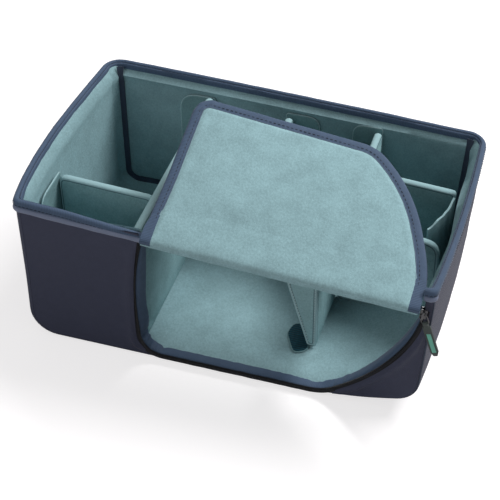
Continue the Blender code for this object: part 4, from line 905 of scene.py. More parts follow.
def make_back_wall():
    """Back padding: a flat board whose levels close at its outline, with the roll below the rim."""
    x, z = back_grid(0.0140, PAD_DROP)
    flat = np.stack([x, z], axis=-1)
    rows, columns = x.shape
    distance = edge_distance(flat, flat.reshape(-1, 2)[border(rows, columns)])
    from_top = rim_height(x, DEPTH) - WALL_DROP - z
    low, high = slab_levels(distance, WALL_START, WALL, 0.004)
    high = high + below_rim_swell(from_top) * fade(distance, 0, 0.004)
    high = high + 0.0003 * (1 + waves(x, z, 0.08, 21)) * fade(distance, 0.004, 0.03)
    high = np.minimum(high, under_tape(from_top, RIM_WIDTH * 0.85 - TAPE_OVERLAP))
    mesh = shell_mesh("back_wall", bag_place(x, DEPTH - high, z), bag_place(x, DEPTH - low, z))
    # The back wall gets the lining colour darkened by painted shade.
    add_piece(mesh, PAINTED_SHADE_LINING, "bag", ["back_pad", "back_lining"])
    x, z = back_grid(BACK_EDGE - 0.002, WALL_DROP)
    points = bag_place(x, DEPTH - 0.0003 * (1 + waves(x, z, 0.06, 23)), z)
    cover = add_piece(sheet_mesh("back_cover", points, CLOTH), SHELL, "bag", ["back_panel"])


make_back_wall()


def make_corner_tape():
    """Dark tape over the seam at the back: a strip round the inner corner, carried along the band's line.
    Its first pass finds the way from the top at each column, its second lays the tape on the swell there."""
    turn = np.radians([47, 58, 69, 80, 90, 90])[:, None]
    past = np.array([0, 0, 0, 0, 0, 0.0012])[:, None]
    level = np.full((1, BAND_COLUMNS), WALL)
    for _ in range(2):
        inset = BACK_EDGE - (BACK_EDGE - level) * np.cos(turn) + past
        y = DEPTH - BACK_EDGE + (BACK_EDGE - level) * np.sin(turn)
        points = band_place(inset, y, 0.0040)
        run = length_along(points, 1)[2:3]
        swell = below_rim_swell(np.minimum(run, run.max() - run) + 0.0016)
        level = WALL + 0.0004 + np.maximum(swell, -0.0016)
    run = length_along(points, 1)
    move = grid_normals(points, INSIDE) * (0.0003 * waves(run, y, 0.02, 31))[..., None]
    mesh = sheet_mesh("corner_tape", points + move, TAPE)
    add_piece(mesh, SEAM_TAPE, "bag", ["back_seam_tape"])


make_corner_tape()
print("inner band has", len(inner_band.polygons), "faces")

# %% [markdown]
# The front wall is cut open by the door. What is left of it is a panel on each side. Each one
# is a loft: straight lines from the door's edge to the outer border, point by point, so the
# cloth can rise to a lip beside the zip and the padding can round off all the way round.

# %% Front walls


def to_plan(curve):
    """Outline u, v of the front wall as plan x and height z."""
    places = FRONT_RIM + curve[:, :1] * ALONG + curve[:, 1:] * DOWN
    return np.stack([places[:, 0] + LENGTH / 2, places[:, 2]], axis=-1)


def front_border(right, inset, offset, maker, drop):
    """The door's side and the outer side of one front panel, both from the narrow foot up to the rim.
    The left panel's inner corner stops 1.6 drops below the rim, under the tape's end."""
    narrow, count = 0.0042, 56
    edge = resample(to_plan(maker(offset, drop, 0.0018)), count=900)
    low = base_line(inset, 12, 30, 30)
    above = edge[:, 1] - np.interp(edge[:, 0], low[:, 0], low[:, 1])
    if right:
        keep = edge[(above > narrow) & (edge[:, 0] > FLAT_END) & (LENGTH - inset - edge[:, 0] > narrow)]
        keep[-1, 1] = min(keep[-1, 1], rim_height(LENGTH, 0) - drop)
        keep = np.vstack([keep, [RING_STOP + 0.0010, float(wall_top(LENGTH, 0)) - drop]])
        outer = np.vstack([[keep[0, 0], np.interp(keep[0, 0], low[:, 0], low[:, 1])],
                           low[low[:, 0] > keep[0, 0]], [LENGTH - inset, keep[-1, 1]]])
    else:
        keep = edge[(above > narrow) & (edge[:, 0] < LENGTH / 2)]
        keep = keep[:np.argmax(np.append(np.diff(keep[:, 1]) > 0, True)) + 1][::-1]
        keep = np.vstack([keep, [keep[-1, 0], float(wall_top(keep[-1, 0], 0)) - 1.6 * drop]])
        outer = np.vstack([[keep[0, 0], inset], low[(low[:, 0] < keep[0, 0])][::-1],
                           [inset, rim_height(inset, 0) - drop]])
    return resample(keep, count=count), resample(outer, count=count)


def front_loft(right, inset, offset, maker, drop):
    """Grid between the two borders of a front panel, its 22 steps shorter near both."""
    edge, outer = front_border(right, inset, offset, maker, drop)
    share = crowded(22, 0.8)[None, :, None]
    return edge[:, None] + (outer - edge)[:, None] * share


def front_panel(side, right):
    """Outer cloth of a front wall, with the raised lip beside the zip, and the padding behind it."""
    flat = front_loft(right, FRONT_EDGE - (0.0030 if right else -0.0003), 0.0080, cover_line, WALL_DROP)
    edge = edge_distance(flat, np.vstack([to_plan(cover_line(0.0082, 0, 0)), [[0.4, 0.5], [0.15, 0.5]]]))
    outer_gap = np.linalg.norm(flat - flat[:, -1:], axis=-1)
    below = wall_top(flat[..., 0], 0) - flat[..., 1]
    lip = 0.0026 * np.exp(-((edge - 0.0048) / 0.0036) ** 2)
    lip = lip * fade(outer_gap, 0.001, 0.010) * fade(below, 0.012, 0.030)
    sag = 0.0006 * fade(outer_gap, 0.004, 0.03) * (1 + waves(flat[..., 0], flat[..., 1], 0.07, 41 + right))
    ruck = 0.0005 * waves(flat[..., 0] * 3, flat[..., 1] * 0.4, 0.03, 43)
    sag = sag + ruck * fade(edge, 0.004, 0.012) * (1 - fade(edge, 0.012, 0.030))
    points = bag_place(flat[..., 0], 0, flat[..., 1]) - (lip + sag)[..., None] * INWARD
    mesh = sheet_mesh(side + "_cover", points, CLOTH, (0, 0.2, 0.09))
    cover = add_piece(mesh, SHELL, "bag", [side + "_panel"])

    flat = front_loft(right, 0.0060, 0.0062, opening_line, PAD_DROP)
    distance = edge_distance(flat, flat.reshape(-1, 2)[border(*flat.shape[:2])])
    low, high = slab_levels(distance, WALL_START, WALL, 0.0035)
    high = high + 0.0006 * fade(distance, 0.003, 0.03)
    near, far = (bag_place(flat[..., 0], level, flat[..., 1]) for level in (low, high))
    mesh = shell_mesh(side + "_wall", near, far)
    wall = add_piece(mesh, LINING, "bag", [side + "_pad", side + "_lining"])


front_panel("front_left", False)
front_panel("front_right", True)
print("front walls made")

# %% [markdown]
# A tape is bound over the rim, folded into a narrow arch. The arch is the profile and the rim is
# the path: each station of the profile has its own depth and height, and the plan line at that
# depth keeps the corners' arcs concentric. Small waves pull the tape in between its stitches.

# %% Rim tape and hem
RING_START, RING_FINE = DOOR_LEFT - 0.0016, 3


def ring_plan(depth):
    """Plan line at a depth: front left, left end, back, right end, and round the last corner."""
    fine = RING_FINE
    front_round, back_round = max(FRONT_EDGE - depth, 0.001), max(BACK_EDGE - depth, 0.001)
    near, far = depth + front_round, DEPTH - depth - back_round
    left, right = depth + back_round, LENGTH - depth - back_round
    pi, side_y = math.pi, np.linspace(near, far, 12 * fine + 1)
    front_x = np.linspace(RING_START, near, 6 * fine + 1)
    back_x = np.linspace(left, right, 16 * fine + 1)
    return np.vstack([
        np.stack([front_x, 0 * front_x + depth], axis=-1)[:-1],
        arc((near, near), front_round, 1.5 * pi, pi, 3 * fine)[:-1],
        np.stack([0 * side_y + depth, side_y], axis=-1)[:-1],
        arc((left, far), back_round, pi, pi / 2, 4 * fine)[:-1],
        np.stack([back_x, 0 * back_x + DEPTH - depth], axis=-1)[:-1],
        arc((right, far), back_round, pi / 2, 0, 4 * fine)[:-1],
        np.stack([0 * side_y + LENGTH - depth, side_y[::-1]], axis=-1)[:-1],
        arc((LENGTH - near, near), front_round, 0, -pi / 2, 3 * fine)[:-1],
        np.stack([np.linspace(LENGTH - near, RING_STOP, 4), np.full(4, depth)], axis=-1),
    ])


RIM_PROFILE = np.array([
    (-0.0015, -0.0074), (-0.0017, -0.0058), (-0.0018, -0.0042), (-0.0017, -0.0027), (-0.0012, -0.0013),
    (-0.0002, -0.0003), (0.0010, 0.0002), (0.0024, 0.0003), (0.0036, -0.0002), (0.0042, -0.0011),
    (0.0045, -0.0026), (0.0049, -0.0018), (0.0056, -0.0019), (0.0063, -0.0030), (0.0067, -0.0046),
    (0.0069, -0.0062), (0.0070, -0.0080),
])


def ring_points(profile, wave=0.0):
    """Grid of a profile of depth and height, carried round the rim, with small waves across its face."""
    near, far = ring_plan(0)[:, None], ring_plan(0.01)[:, None]
    share = tape_share(near[..., 0], near[..., 1])
    depth = np.where(profile[:, 0] > 0, profile[:, 0] * share, profile[:, 0])[..., None]
    plans = near + (far - near) * depth / 0.01
    level = wall_top(plans[..., 0], plans[..., 1]) + profile[:, 1]
    points = bag_place(plans[..., 0], plans[..., 1], level)
    if len(profile) > 2:
        first, last = (row.mean(0) + 0.12 * (row - row.mean(0)) for row in (points[0], points[-1]))
        points = np.concatenate([first[None], points, last[None]])
    if wave:
        run = length_along(points, 0)
        station = np.linspace(0, 0.02, len(profile))
        out = grid_normals(points, points.mean(1, keepdims=True))
        height = wave * (waves(run, station, 0.03, 51) + 0.6 * waves(run, station, 0.009, 52))
        points = points - out * height[..., None]
    return points


def make_rim_tape():
    """Rim tape as a thin closed sheet, and two rows of thread near its edges."""
    points = ring_points(RIM_PROFILE, 0.00022)
    centre = points.mean(1, keepdims=True) - np.array([0, 0, 0.004])
    mesh = sheet_mesh("rim_tape", points, 0.0010, centre)
    add_piece(mesh, BINDING, "bag", ["rim_binding"])
    spots = np.array([(-0.0019, -0.0052), (0.0045, -0.0019), (-0.010, -0.0052)])
    outer, groove, far_out = (ring_points(spot[None])[:, 0] for spot in spots)
    out = far_out - outer
    up = np.broadcast_to([0.0, 0.0, 1.0], groove.shape)
    thread = stitch_mesh("rim_thread", [outer, groove], [out, up], length=0.0036, pitch=0.0042)
    add_piece(thread, DARK_THREAD, "bag")
    return points


rim_points = make_rim_tape()


def make_hem():
    """Soft roll of cloth under the rim tape: fuller on the front, slim round the ends and back."""
    line, outer = ring_plan(0), ring_plan(-0.01)
    front = fade(0.006 - line[:, 1], 0, 0.004)
    wide, tall, out = 0.0011 + 0.0010 * front, 0.0022 + 0.0010 * front, 0.0003 + 0.0009 * front
    x, y = (line + (outer - line) * (out / 0.01)[:, None]).T
    path = bag_place(x, y, wall_top(x, y) + front_dip(x, y) - 0.0074 - tall * 0.90)
    run = run_of(path)
    swell = 1 + 0.12 * waves(run, 0 * run, 0.02, 61)
    mesh = tube_mesh("hem_roll", path, wide * swell, tall * swell, (0, 0, 1), sides=14)
    add_piece(mesh, HEM, "bag", ["front_hem_welt"])


make_hem()
print("rim tape is", round(float(length_along(rim_points, 0)[-1].mean()), 3), "m long")

# %% [markdown]
# The opening's cut edge is bound with a wide tape that faces the opening. The tape is too long
# for the tight lower corner, so it gathers there in small folds. One grid along the door's
# outline makes it: the folds are waves along the line, strong at the corner and weak elsewhere.

# %% Opening tape


def outline_frame(offset, left_top, right_top, fine=6, maker=door_line):
    """An outline and the outward direction at each of its points."""
    line = maker(offset, left_top, right_top, fine)
    return line, outward(line)


def near_place(run, place, reach):
    """One at a place of the running length, and nought beyond about twice the reach: a bell curve."""
    return np.exp(-((run - place) / reach) ** 2)


OPENING_PROFILE = np.array([
    (0.0070, 0.0011), (0.0056, 0.0012), (0.0048, 0.0020), (0.0046, 0.0045), (0.0045, 0.0075),
    (0.0046, 0.0105), (0.0048, 0.0130), (0.0058, 0.0145), (0.0078, 0.0149), (0.0104, 0.0140),
    (0.0120, 0.0115),
])
OPENING_WAVES = (0.012, 0.011, 71), (0.006, 0.0052, 72), (0.01, 0.010, 73)


def opening_shift(station, line, run, corner_at):
    """How far the tape's offset moves: it spreads at the bowed left side, rolls open along the sweep and
    is pushed in where it bunches above the lower corner. Each is a line of values over the profile."""
    spread = np.interp(station, [0, 0.3, 0.7, 1], [0.0046, 0.0008, -0.0030, -0.0004])
    roll = np.interp(station, [0, 0.15, 0.3, 0.6, 0.85, 1], [0.0030, -0.0006, -0.0024, -0.0028, -0.0010, 0])
    pushed = np.interp(station, [0, 0.25, 0.5, 0.75, 1], [0, -0.0010, -0.0036, -0.0046, -0.0010])
    sweep = sweep_bulge(line, 0.130, 0.30, 0.34)
    bunch = near_place(run, corner_at - 0.014, 0.020)
    return left_bulge(line, 0.155)[:, None] * spread + sweep[:, None] * roll + bunch[:, None] * pushed


def make_opening_tape():
    """Opening tape: a profile of offset and depth carried along the outline. It gathers at the lower corner
    and at the sweep's foot in folds made by waves, and it is shallower at its upper left end."""
    line, out = outline_frame(0, 0.0090, 0.0018, 6, opening_line)
    run, station = run_of(line), np.linspace(0, 1, len(OPENING_PROFILE))
    corner_at = run[np.argmin(np.abs(line[:, 0] - 0.148) + np.abs(line[:, 1] - line[:, 1].max() + 0.012))]
    sweep_at = run[np.argmin(np.abs(line[:, 0] - 0.352))]
    gather = 0.15 + 1.3 * near_place(run, corner_at, 0.019) + 0.9 * near_place(run, sweep_at, 0.017)
    inner = np.sin(np.pi * np.clip(station * 1.1, 0, 1)) ** 0.7
    folds = gather[:, None] * inner
    wide, fine, deep = (waves(run[:, None], station[None] * across, size, seed)
                        for across, size, seed in OPENING_WAVES)
    offset = OPENING_PROFILE[:, 0] + opening_shift(station, line, run, corner_at)
    offset = offset + 0.0011 * folds * 0.9 * (wide + fine)
    high = ((1 - fade(line[:, 1], 0.012, 0.032)) * (line[:, 0] < LENGTH / 2))[:, None]
    depth = OPENING_PROFILE[:, 1] - high * np.maximum(OPENING_PROFILE[:, 1] - 0.0085, 0)
    depth = depth + 0.0009 * folds * deep
    points = front_place(line[:, None] + out[:, None] * offset[..., None], depth)
    middle = front_place(line[:, None] + out[:, None] * 0.009, 0.006)
    mesh = sheet_mesh("opening_tape", points, 0.0009, middle)
    add_piece(mesh, BINDING, "bag", ["opening_binding"])
    return points


opening_points = make_opening_tape()
print("opening tape is", round(float(length_along(opening_points, 0)[-1].mean()), 3), "m long")

# %% [markdown]
# Each half of the zip is a woven tape with a nylon coil sewn along its edge. The coil could be
# a plain tube, but light catches its turns, so it is a helix: a point runs round a small circle
# while it moves along the line.

# %% Zip tapes and coils
COIL_PITCH, COIL_RADIUS, COIL_WIRE = 0.0014, 0.00075, 0.00028


def make_zip_tape(name, place, near, far, tops, depth, body, node_name, maker):
    """Woven tape between two offsets of the outline, at a depth, with a slight curl."""
    line, out = outline_frame(0, *tops, 4, maker)
    share = np.linspace(0, 1, 5)
    offset = near + (far - near) * share
    curl = 0.0002 * waves(run_of(line)[:, None], share[None] * 0.003, 0.02, 81)
    points = place(line[:, None] + out[:, None] * offset[None, :, None], depth + curl)
    inward = (place(line, depth + 0.01) - place(line, depth))[:, None]
    add_piece(sheet_mesh(name, points, 0.0006, points + inward), ZIP_TAPE, body, [node_name])


def make_zip_coil(name, place, offset, depth, tops, body, node_name, maker):
    """Coil: a helix of eight points a turn round the line at an offset, swept by a small four-sided wire."""
    line, out = outline_frame(offset, *tops, 10, maker)
    run = run_of(line)
    places = np.linspace(0, run[-1], int(run[-1] / COIL_PITCH * 8))
    centre, away = along_line(line, run, places), along_line(out, run, places)
    angle = places / COIL_PITCH * 2 * math.pi
    flat = centre + away * (COIL_RADIUS * 1.15 * np.cos(angle))[:, None]
    path = place(flat, depth + COIL_RADIUS * np.sin(angle))
    mesh = tube_mesh(name, path, COIL_WIRE, COIL_WIRE * 1.2, place(centre, depth) - path + 1e-9, sides=4)
    add_piece(mesh, COIL, body, [node_name])


ZIP_HALVES = [
    ("bag", "body", "bag", front_place, zip_line, (0.010, 0.010), 0.0030, 0.0094, -0.0002, 0.00345, -0.0008),
    ("door", "door", "side_door", door_place, door_line, (0.012, 0.024), -0.0030, 0.0004, -0.0014, 0.0008,
     -0.0016)]
for side, half, body, place, maker, tops, near, far, tape_depth, offset, coil_depth in ZIP_HALVES:
    make_zip_tape(side + "_zip_tape", place, near, far, tops, tape_depth, body, "zip_tape_" + half, maker)
    make_zip_coil(side + "_zip_coil", place, offset, coil_depth, tops, body, "zip_coil_" + half, maker)
print("zip made of two tapes and two coils")

# %% [markdown]
# The side door is the largest piece in view: a foam board between the outer cloth and the
# brushed lining. Rings shrunk from its outline follow the edge all the way round, and the
# lining swells beside the tape and lies in soft ripples near the hinge.

# %% Side door


def door_outline(inset, top):
    """Closed outline of the door, inset from its edge, from a line below the hinge."""
    line = door_line(-inset, top, top, 4)
    closing = np.linspace(line[-1], line[0], 40)[1:-1]
    return np.vstack([line, closing])


DOOR_TOP = HINGE_TOP + HINGE_ZONE - 0.0015


def lining_level(u, v, from_tape, from_edge):
    """Level of the door's lining: low beside the tape, full from there on, softly uneven in the middle."""
    puff = 0.0032 * fade(from_tape, 0.0070, 0.0135) - 0.0016
    soft = 0.0009 * fade(from_edge, 0.010, 0.045) * (1 + waves(u, v, 0.12, 91))
    return WALL + puff + soft


DOOR_RINGS = np.concatenate([[0, 0.0002, 0.0006, 0.0012, 0.0020, 0.0030, 0.0042, 0.0056, 0.0070],
                             np.arange(0.0082, 0.016, 0.0012), np.arange(0.0175, 0.078, 0.0035)])


def make_door_padding():
    """Door padding with its lining: rings inside the outline, a round edge, and the lining's own level."""
    flat, distance = rings(door_outline(0.0008, DOOR_TOP), DOOR_RINGS)
    low, high = slab_levels(distance, WALL_START, WALL, 0.0040)
    u, v = flat[..., 0], flat[..., 1]
    from_tape = edge_distance(flat, np.vstack([door_line(-0.0008, 0, 0, 4), [[0.45, -0.2], [0.1, -0.2]]]))
    fine = 0.00012 * fade(distance, 0.006, 0.02) * waves(u, v, 0.013, 92)
    high = high + lining_level(u, v, from_tape, distance) - WALL + fine
    close_rings(low, high)
    gap = np.concatenate([0 * distance, distance])
    mesh = ring_mesh("door_padding", flat, door_place(flat, low), door_place(flat, high), gap)
    pad = add_piece(mesh, LINING, "side_door", ["door_pad", "door_lining"])
    swell_by_cloth(pad, 0.0120, 0.0012)


def make_door_cloth():
    """The door's outer cloth: two faces that meet at the outline and sag a little in the middle."""
    outline = door_outline(0.0006, HINGE_TOP)
    flat, distance = rings(outline, DOOR_RINGS)
    sag = 0.0004 * (1 + waves(flat[..., 0], flat[..., 1], 0.08, 95)) * fade(distance, 0.01, 0.04)
    half = CLOTH / 2 * np.sqrt(np.clip(distance / 0.0006, 0, 1))
    close_rings(sag, half)
    near, far = (door_place(flat, CLOTH / 2 + side * half - sag) for side in (-1, 1))
    mesh = ring_mesh("door_outer_cloth", flat, near, far, np.concatenate([distance, distance]))
    cover = add_piece(mesh, SHELL, "side_door", ["door_cover"])


make_door_padding()
make_door_cloth()
DOOR_PROFILE = np.array([
    (-0.0078, -0.0007), (-0.0050, -0.0009), (-0.0020, -0.0008), (0.0000, -0.0004), (0.0009, 0.0008),
    (0.0011, 0.0028), (0.0010, 0.0048), (0.0007, 0.0064), (-0.0001, 0.0078), (-0.0016, 0.0086),
    (-0.0040, 0.0090), (-0.0068, 0.0090), (-0.0098, 0.0087),
])


def make_door_tape():
    """Tape folded over the door's edge, gathered at the lower left corner, with its thread and selvedge."""
    line, out = outline_frame(0, 0.0125, 0.0125)
    run = run_of(line)[:, None]
    station = np.linspace(0, 0.03, len(DOOR_PROFILE))[None]
    wave = waves(run, station, 0.03, 101) + 0.7 * waves(run, station, 0.008, 102)
    u, v = line.T
    bend = 1 + 3.5 * near_place(v, v.max() - 0.012, 0.016) * near_place(u, 0.148, 0.016)
    flat = line[:, None] + out[:, None] * DOOR_PROFILE[None, :, :1]
    points = door_place(flat, DOOR_PROFILE[:, 1] + 0.00022 * wave * bend[:, None])
    centre = door_place(line - 0.005 * out, 0.005)
    mesh = sheet_mesh("door_tape", points, TAPE, centre[:, None])
    add_piece(mesh, BINDING, "side_door", ["door_binding"])
    thread = door_place(line - 0.0066 * out, 0.0091)
    mesh = stitch_mesh("door_thread", [thread], [DOOR_IN], length=0.0032, pitch=0.0046)
    add_piece(mesh, DARK_THREAD, "side_door")
    selvedge = resample(points[:, -1] + 0.0002 * DOOR_IN, step=0.002)
    mesh = tube_mesh("door_selvedge", selvedge, 0.0005, 0.0005, DOOR_IN, sides=6)
    add_piece(mesh, SELVEDGE, "side_door")
    return line


door_edge = make_door_tape()
print("door tape is", round(float(run_of(door_edge)[-1]), 3), "m long")

# %% [markdown]
# At the hinge the lining runs on from the door, rolls over the rim and ends in a soft lip above
# the opening. Cloth that crosses a joint has to bend with it; this roll and the two tape ends that
# fold down beside it are shaped in the open pose and ride on neither the bag nor the door.

# %% Hinge fold
FOLD_RIGHT = 0.4123
FOLD_DOOR = np.array([0.0400, 0.0350, 0.0300, 0.0260, 0.0220, 0.0180, 0.0140, 0.0100, 0.0070])
FOLD_SINK = np.array([-0.0012, -0.0007, -0.0003, 0.0, 0.0002, 0.0003, 0.0003, 0.0003, 0.0003])
FOLD_ROLL = np.array([
    (-0.0020, 0.0122), (-0.0066, 0.0104), (-0.0110, 0.0085), (-0.0143, 0.0068), (-0.0161, 0.0052),
    (-0.0170, 0.0034), (-0.0170, 0.0016), (-0.0160, 0.0003), (-0.0120, -0.0003), (-0.0060, -0.0016),
    (-0.0018, -0.0042), (0.0002, -0.0080), (0.0010, -0.0113), (0.0040, -0.0125),
])
ROLL_SHARE = np.array([0.95, 0.80, 0.62, 0.45, 0.30, 0.18, 0.10, 0.05, 0, 0, 0, 0, 0, 0])


def fold_points(left, right, lining, count):
    """Grid of the fold: the door's own surface near the hinge, then a roll over the rim, given as the way in
    and the way up from it. Its sides follow the door's outline, the right one curves in with the sweep. The
    lining draws in from both sides and dips there under the tape; a tape end keeps its one level."""
    v = FOLD_DOOR[None]
    curve = DOOR_SWEEP - np.sqrt(DOOR_SWEEP ** 2 - v ** 2)
    tuck = 0.0032 * fade(v, 0.0060, 0.0170) if lining else 0 * v
    share = np.linspace(0, 1, count)[:, None]
    near_left, near_right = left < LENGTH / 2, right > LENGTH / 2
    first = left + tuck - (not near_left) * curve
    last = right - (tuck + curve) * near_right
    if not lining and near_left:
        first, last = first + 0.0026 * fade(v, 0.003, 0.016), last + 0.0036 * fade(v, 0.003, 0.016)
    u = first + (last - first) * share
    edge = np.minimum(u - DOOR_LEFT, FOLD_RIGHT + 0.0008 - curve - u)
    v = v + 0 * u
    if lining:
        level = lining_level(u, v, edge, np.minimum(edge, v - DOOR_TOP)) + FOLD_SINK
        dip = 0.0034 * (1 - fade(edge, 0.0070, 0.0135))
    else:
        level = 0.0092 + 0 * u
        dip = 0.0023 + 0 * u
    door = door_place(np.stack([u, v], axis=-1), level)
    u, dip = left + (right - left) * share, dip[:, -1:]
    shape = FOLD_ROLL + (dip * ROLL_SHARE)[..., None] * square_to(FOLD_ROLL)
    start = FRONT_RIM + u * ALONG
    roll = start[:, None] + shape[..., :1] * INWARD - shape[..., 1:] * DOWN
    return np.concatenate([door, roll], axis=1)


def make_hinge_fold():
    """Lining roll and the two tape ends, shaped in the open pose; they ride on neither the bag nor the door.
    """
    end = door_place(np.array([0.27, 0.0040]), 0.006)
    points = fold_points(DOOR_LEFT - 0.0004, FOLD_RIGHT + 0.0008, True, 130)
    run = length_along(points, 0)
    wave = waves(run, length_along(points, 1), 0.035, 111) * 0.0002
    points = points + grid_normals(points, points + np.array([0, -1, 1])) * wave[..., None]
    below = np.array([0, 0.02, -0.01])
    mesh = sheet_mesh("hinge_fold", points, SOFT_FOLD, points + below)
    fold = add_piece(mesh, LINING, None, ["hinge_strip", "door_hinge_facing"])
    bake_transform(fold)
    for name, left in (("left_tape_end", DOOR_LEFT - 0.0014), ("right_tape_end", FOLD_RIGHT - 0.0088)):
        points = fold_points(left, left + 0.0110, False, 14)[:, 5:].transpose(1, 0, 2)
        tape = add_piece(sheet_mesh(name, points, TAPE, points + below), BINDING, None)
        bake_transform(tape)


make_hinge_fold()

# %% [markdown]
# The dividers are foam boards in the same loop cloth, each closed by a narrow edge strip with a
# seam on both sides. All of them come from the padded slab: only the outline and the place differ.

# %% Divider places
THICK, TAB, TAB_GAP = 0.0090, 0.0024, 0.0006
DIVIDER_LIFT, ROUND_FOOT, SHARP = 0.0004, 0.004, 0.0001
LEFT_LONG_X, LEFT_CROSS_Y, LONG_CROSS_Y = 0.28235 * LENGTH - 0.003, 0.30798 * DEPTH, 0.72243 * DEPTH
BACK_LEFT_X, BACK_RIGHT_X = 0.48941 * LENGTH, 0.73294 * LENGTH - 0.004
LEFT_CROSS_START, DIVIDER_GAP = 0.0099, 0.0025
RIGHT_CROSS_Y, FRONT_DIVIDER_X = 0.47529 * DEPTH, 0.68471 * LENGTH


def stand_along_y(x):
    """Place of a slab that stands square to X: its flat points are y and z."""
    return lambda flat, level: plain_place(x + level, flat[..., 0], flat[..., 1])


def stand_along_x(y):
    """Place of a slab that stands square to Y: its flat points are x and z."""
    return lambda flat, level: plain_place(flat[..., 0], y + level, flat[..., 1])


def plain_place(x, y, z):
    """Plan places to model places without the walls' bow."""
    x, y, z = np.broadcast_arrays(x, y, z)
    return np.stack([x - LENGTH / 2, y - DEPTH / 2, z], axis=-1)


def rounded(outline, radius, steps=5):
    """Outline with each corner replaced by an arc-like curve: a parabola between two cut points."""
    outline = np.asarray(outline, dtype=float)
    radius = np.broadcast_to(radius, len(outline)).astype(float)
    first, last = (outline + unit(np.roll(outline, turn, axis=0) - outline) * radius[:, None]
                   for turn in (1, -1))
    t = np.linspace(0, 1, steps + 1)[None, :, None]
    curve = first[:, None] * (1 - t) ** 2 + 2 * outline[:, None] * t * (1 - t) + last[:, None] * t ** 2
    return curve.reshape(-1, 2)


def add_divider(name, outline, place, body, node_name, seed):
    """Divider: a padded slab with round edges and a sewn dip along both faces' borders."""
    mesh = slab_mesh(name, outline, place, 0, THICK, 0.0034, swell=0.0005, seam=EDGE_SEAM, seed=seed)
    piece = add_piece(mesh, DIVIDER_CLOTH, body, [node_name])
    swell_by_cloth(piece, 0.0042, 0.0009)


# %% [markdown]
# Three dividers run to the back wall and one crosses the left bay. A board that meets the seam
# tape would stand away from the wall, so their lower back corners are cut off over the tape, and
# the cross board's lower left corner is an arc, as the bag's own corner is.

# %% Dividers of the left bay and the back


def back_divider(name, x, front, drop, seed):
    """Divider that runs to the back wall, cut over the seam at its lower back corner."""
    end = DEPTH - WALL - 0.0035
    foot = float(base_height(x + THICK, WALL)) + DIVIDER_LIFT
    outline = [(front, foot), (end - 0.0125, foot), (end, foot + 0.009), (end, rim_height(x, end) - drop),
               (front, rim_height(x, front) - drop)]
    outline = rounded(outline, [ROUND_FOOT, 0.006, 0.006, 0.006, 0.007])
    add_divider(name + "_board", outline, stand_along_y(x), name, name + "_divider", seed)


back_front = LONG_CROSS_Y + THICK + 0.001
for name, x, front, drop, seed in (("left_long", LEFT_LONG_X, 0.014, 0.016, 201),
                                   ("back_left", BACK_LEFT_X, back_front, 0.020, 202),
                                   ("back_right", BACK_RIGHT_X, back_front, 0.015, 203)):
    back_divider(name, x, front, drop, seed)


def make_left_cross():
    """Cross divider of the left bay: its lower left corner follows the bag's round corner."""
    left, right, drop = LEFT_CROSS_START, LEFT_LONG_X - 0.0034, 0.030
    corner = arc((LEFT_CORNER, LEFT_CORNER), LEFT_CORNER - left, math.pi, 1.5 * math.pi, 8)
    head = [corner[-1], (right, corner[-1, 1]), (right, rim_height(right, LEFT_CROSS_Y) - drop),
            (left, rim_height(left, LEFT_CROSS_Y) - drop), (left, 0.04)]
    outline = np.vstack([corner[1:-1], rounded(head, [SHARP, ROUND_FOOT, 0.006, 0.010, SHARP])])
    add_divider("left_cross_board", outline, stand_along_x(LEFT_CROSS_Y), "left_cross", "left_cross_divider",
                204)


make_left_cross()
print("left bay and back dividers made")

# %% [markdown]
# The right bay's boards stand on the sweep of the base, so their feet are cut along its curve.
# The board across the back ends in a thin wing, the cloth alone, folded forward along the wall.

# %% Dividers of the right bay


def floor_run(left, right):
    """Points of the base line under a divider between two places along the bag."""
    line = base_line(WALL + DIVIDER_LIFT, 9, 10, 10)
    middle = line[(line[:, 0] > left) & (line[:, 0] < right)]
    ends = np.interp([left, right], line[:, 0], line[:, 1])
    return np.vstack([[left, ends[0]], middle, [right, ends[1]]])


def cross_outline(y, left, right, drop, round_right):
    """Outline of a cross divider that stands on the sweep of the base, its right end 6 mm lower."""
    base = floor_run(left, right)
    top = np.array([(right, rim_height(right, y) - drop - 0.006), (left, rim_height(left, y) - drop)])
    closed = np.vstack([base, top])
    radius = np.full(len(closed), SHARP)
    radius[[0, len(base) - 1, -2, -1]] = (ROUND_FOOT, ROUND_FOOT, round_right, 0.005)
    return rounded(closed, radius)


LONG_LEFT, LONG_RIGHT = LEFT_LONG_X + THICK + DIVIDER_GAP, LENGTH - 0.016
add_divider("long_cross_board", cross_outline(LONG_CROSS_Y, LONG_LEFT, LONG_RIGHT, 0.021, 0.004),
            stand_along_x(LONG_CROSS_Y), "long_cross", "long_cross_divider", 205)
right_start = FRONT_DIVIDER_X + THICK + DIVIDER_GAP
right_outline = cross_outline(RIGHT_CROSS_Y, right_start, LENGTH - 0.018, 0.037, 0.016)
add_divider("right_cross_board", right_outline, stand_along_x(RIGHT_CROSS_Y), "right_cross",
            "right_cross_divider", 206)
front, back, top = 0.052, LONG_CROSS_Y - 0.0015, 0.118
foot = float(base_height(FRONT_DIVIDER_X + THICK + 0.002, WALL)) + DIVIDER_LIFT
front_outline = rounded([(front, foot), (back, foot), (back, top), (front, top)],
                        [ROUND_FOOT, ROUND_FOOT, 0.006, 0.010])
add_divider("front_board", front_outline, stand_along_y(FRONT_DIVIDER_X), "front_bay", "front_divider", 207)


LONG_CROSS_CORNER = np.array([LONG_RIGHT, LONG_CROSS_Y])


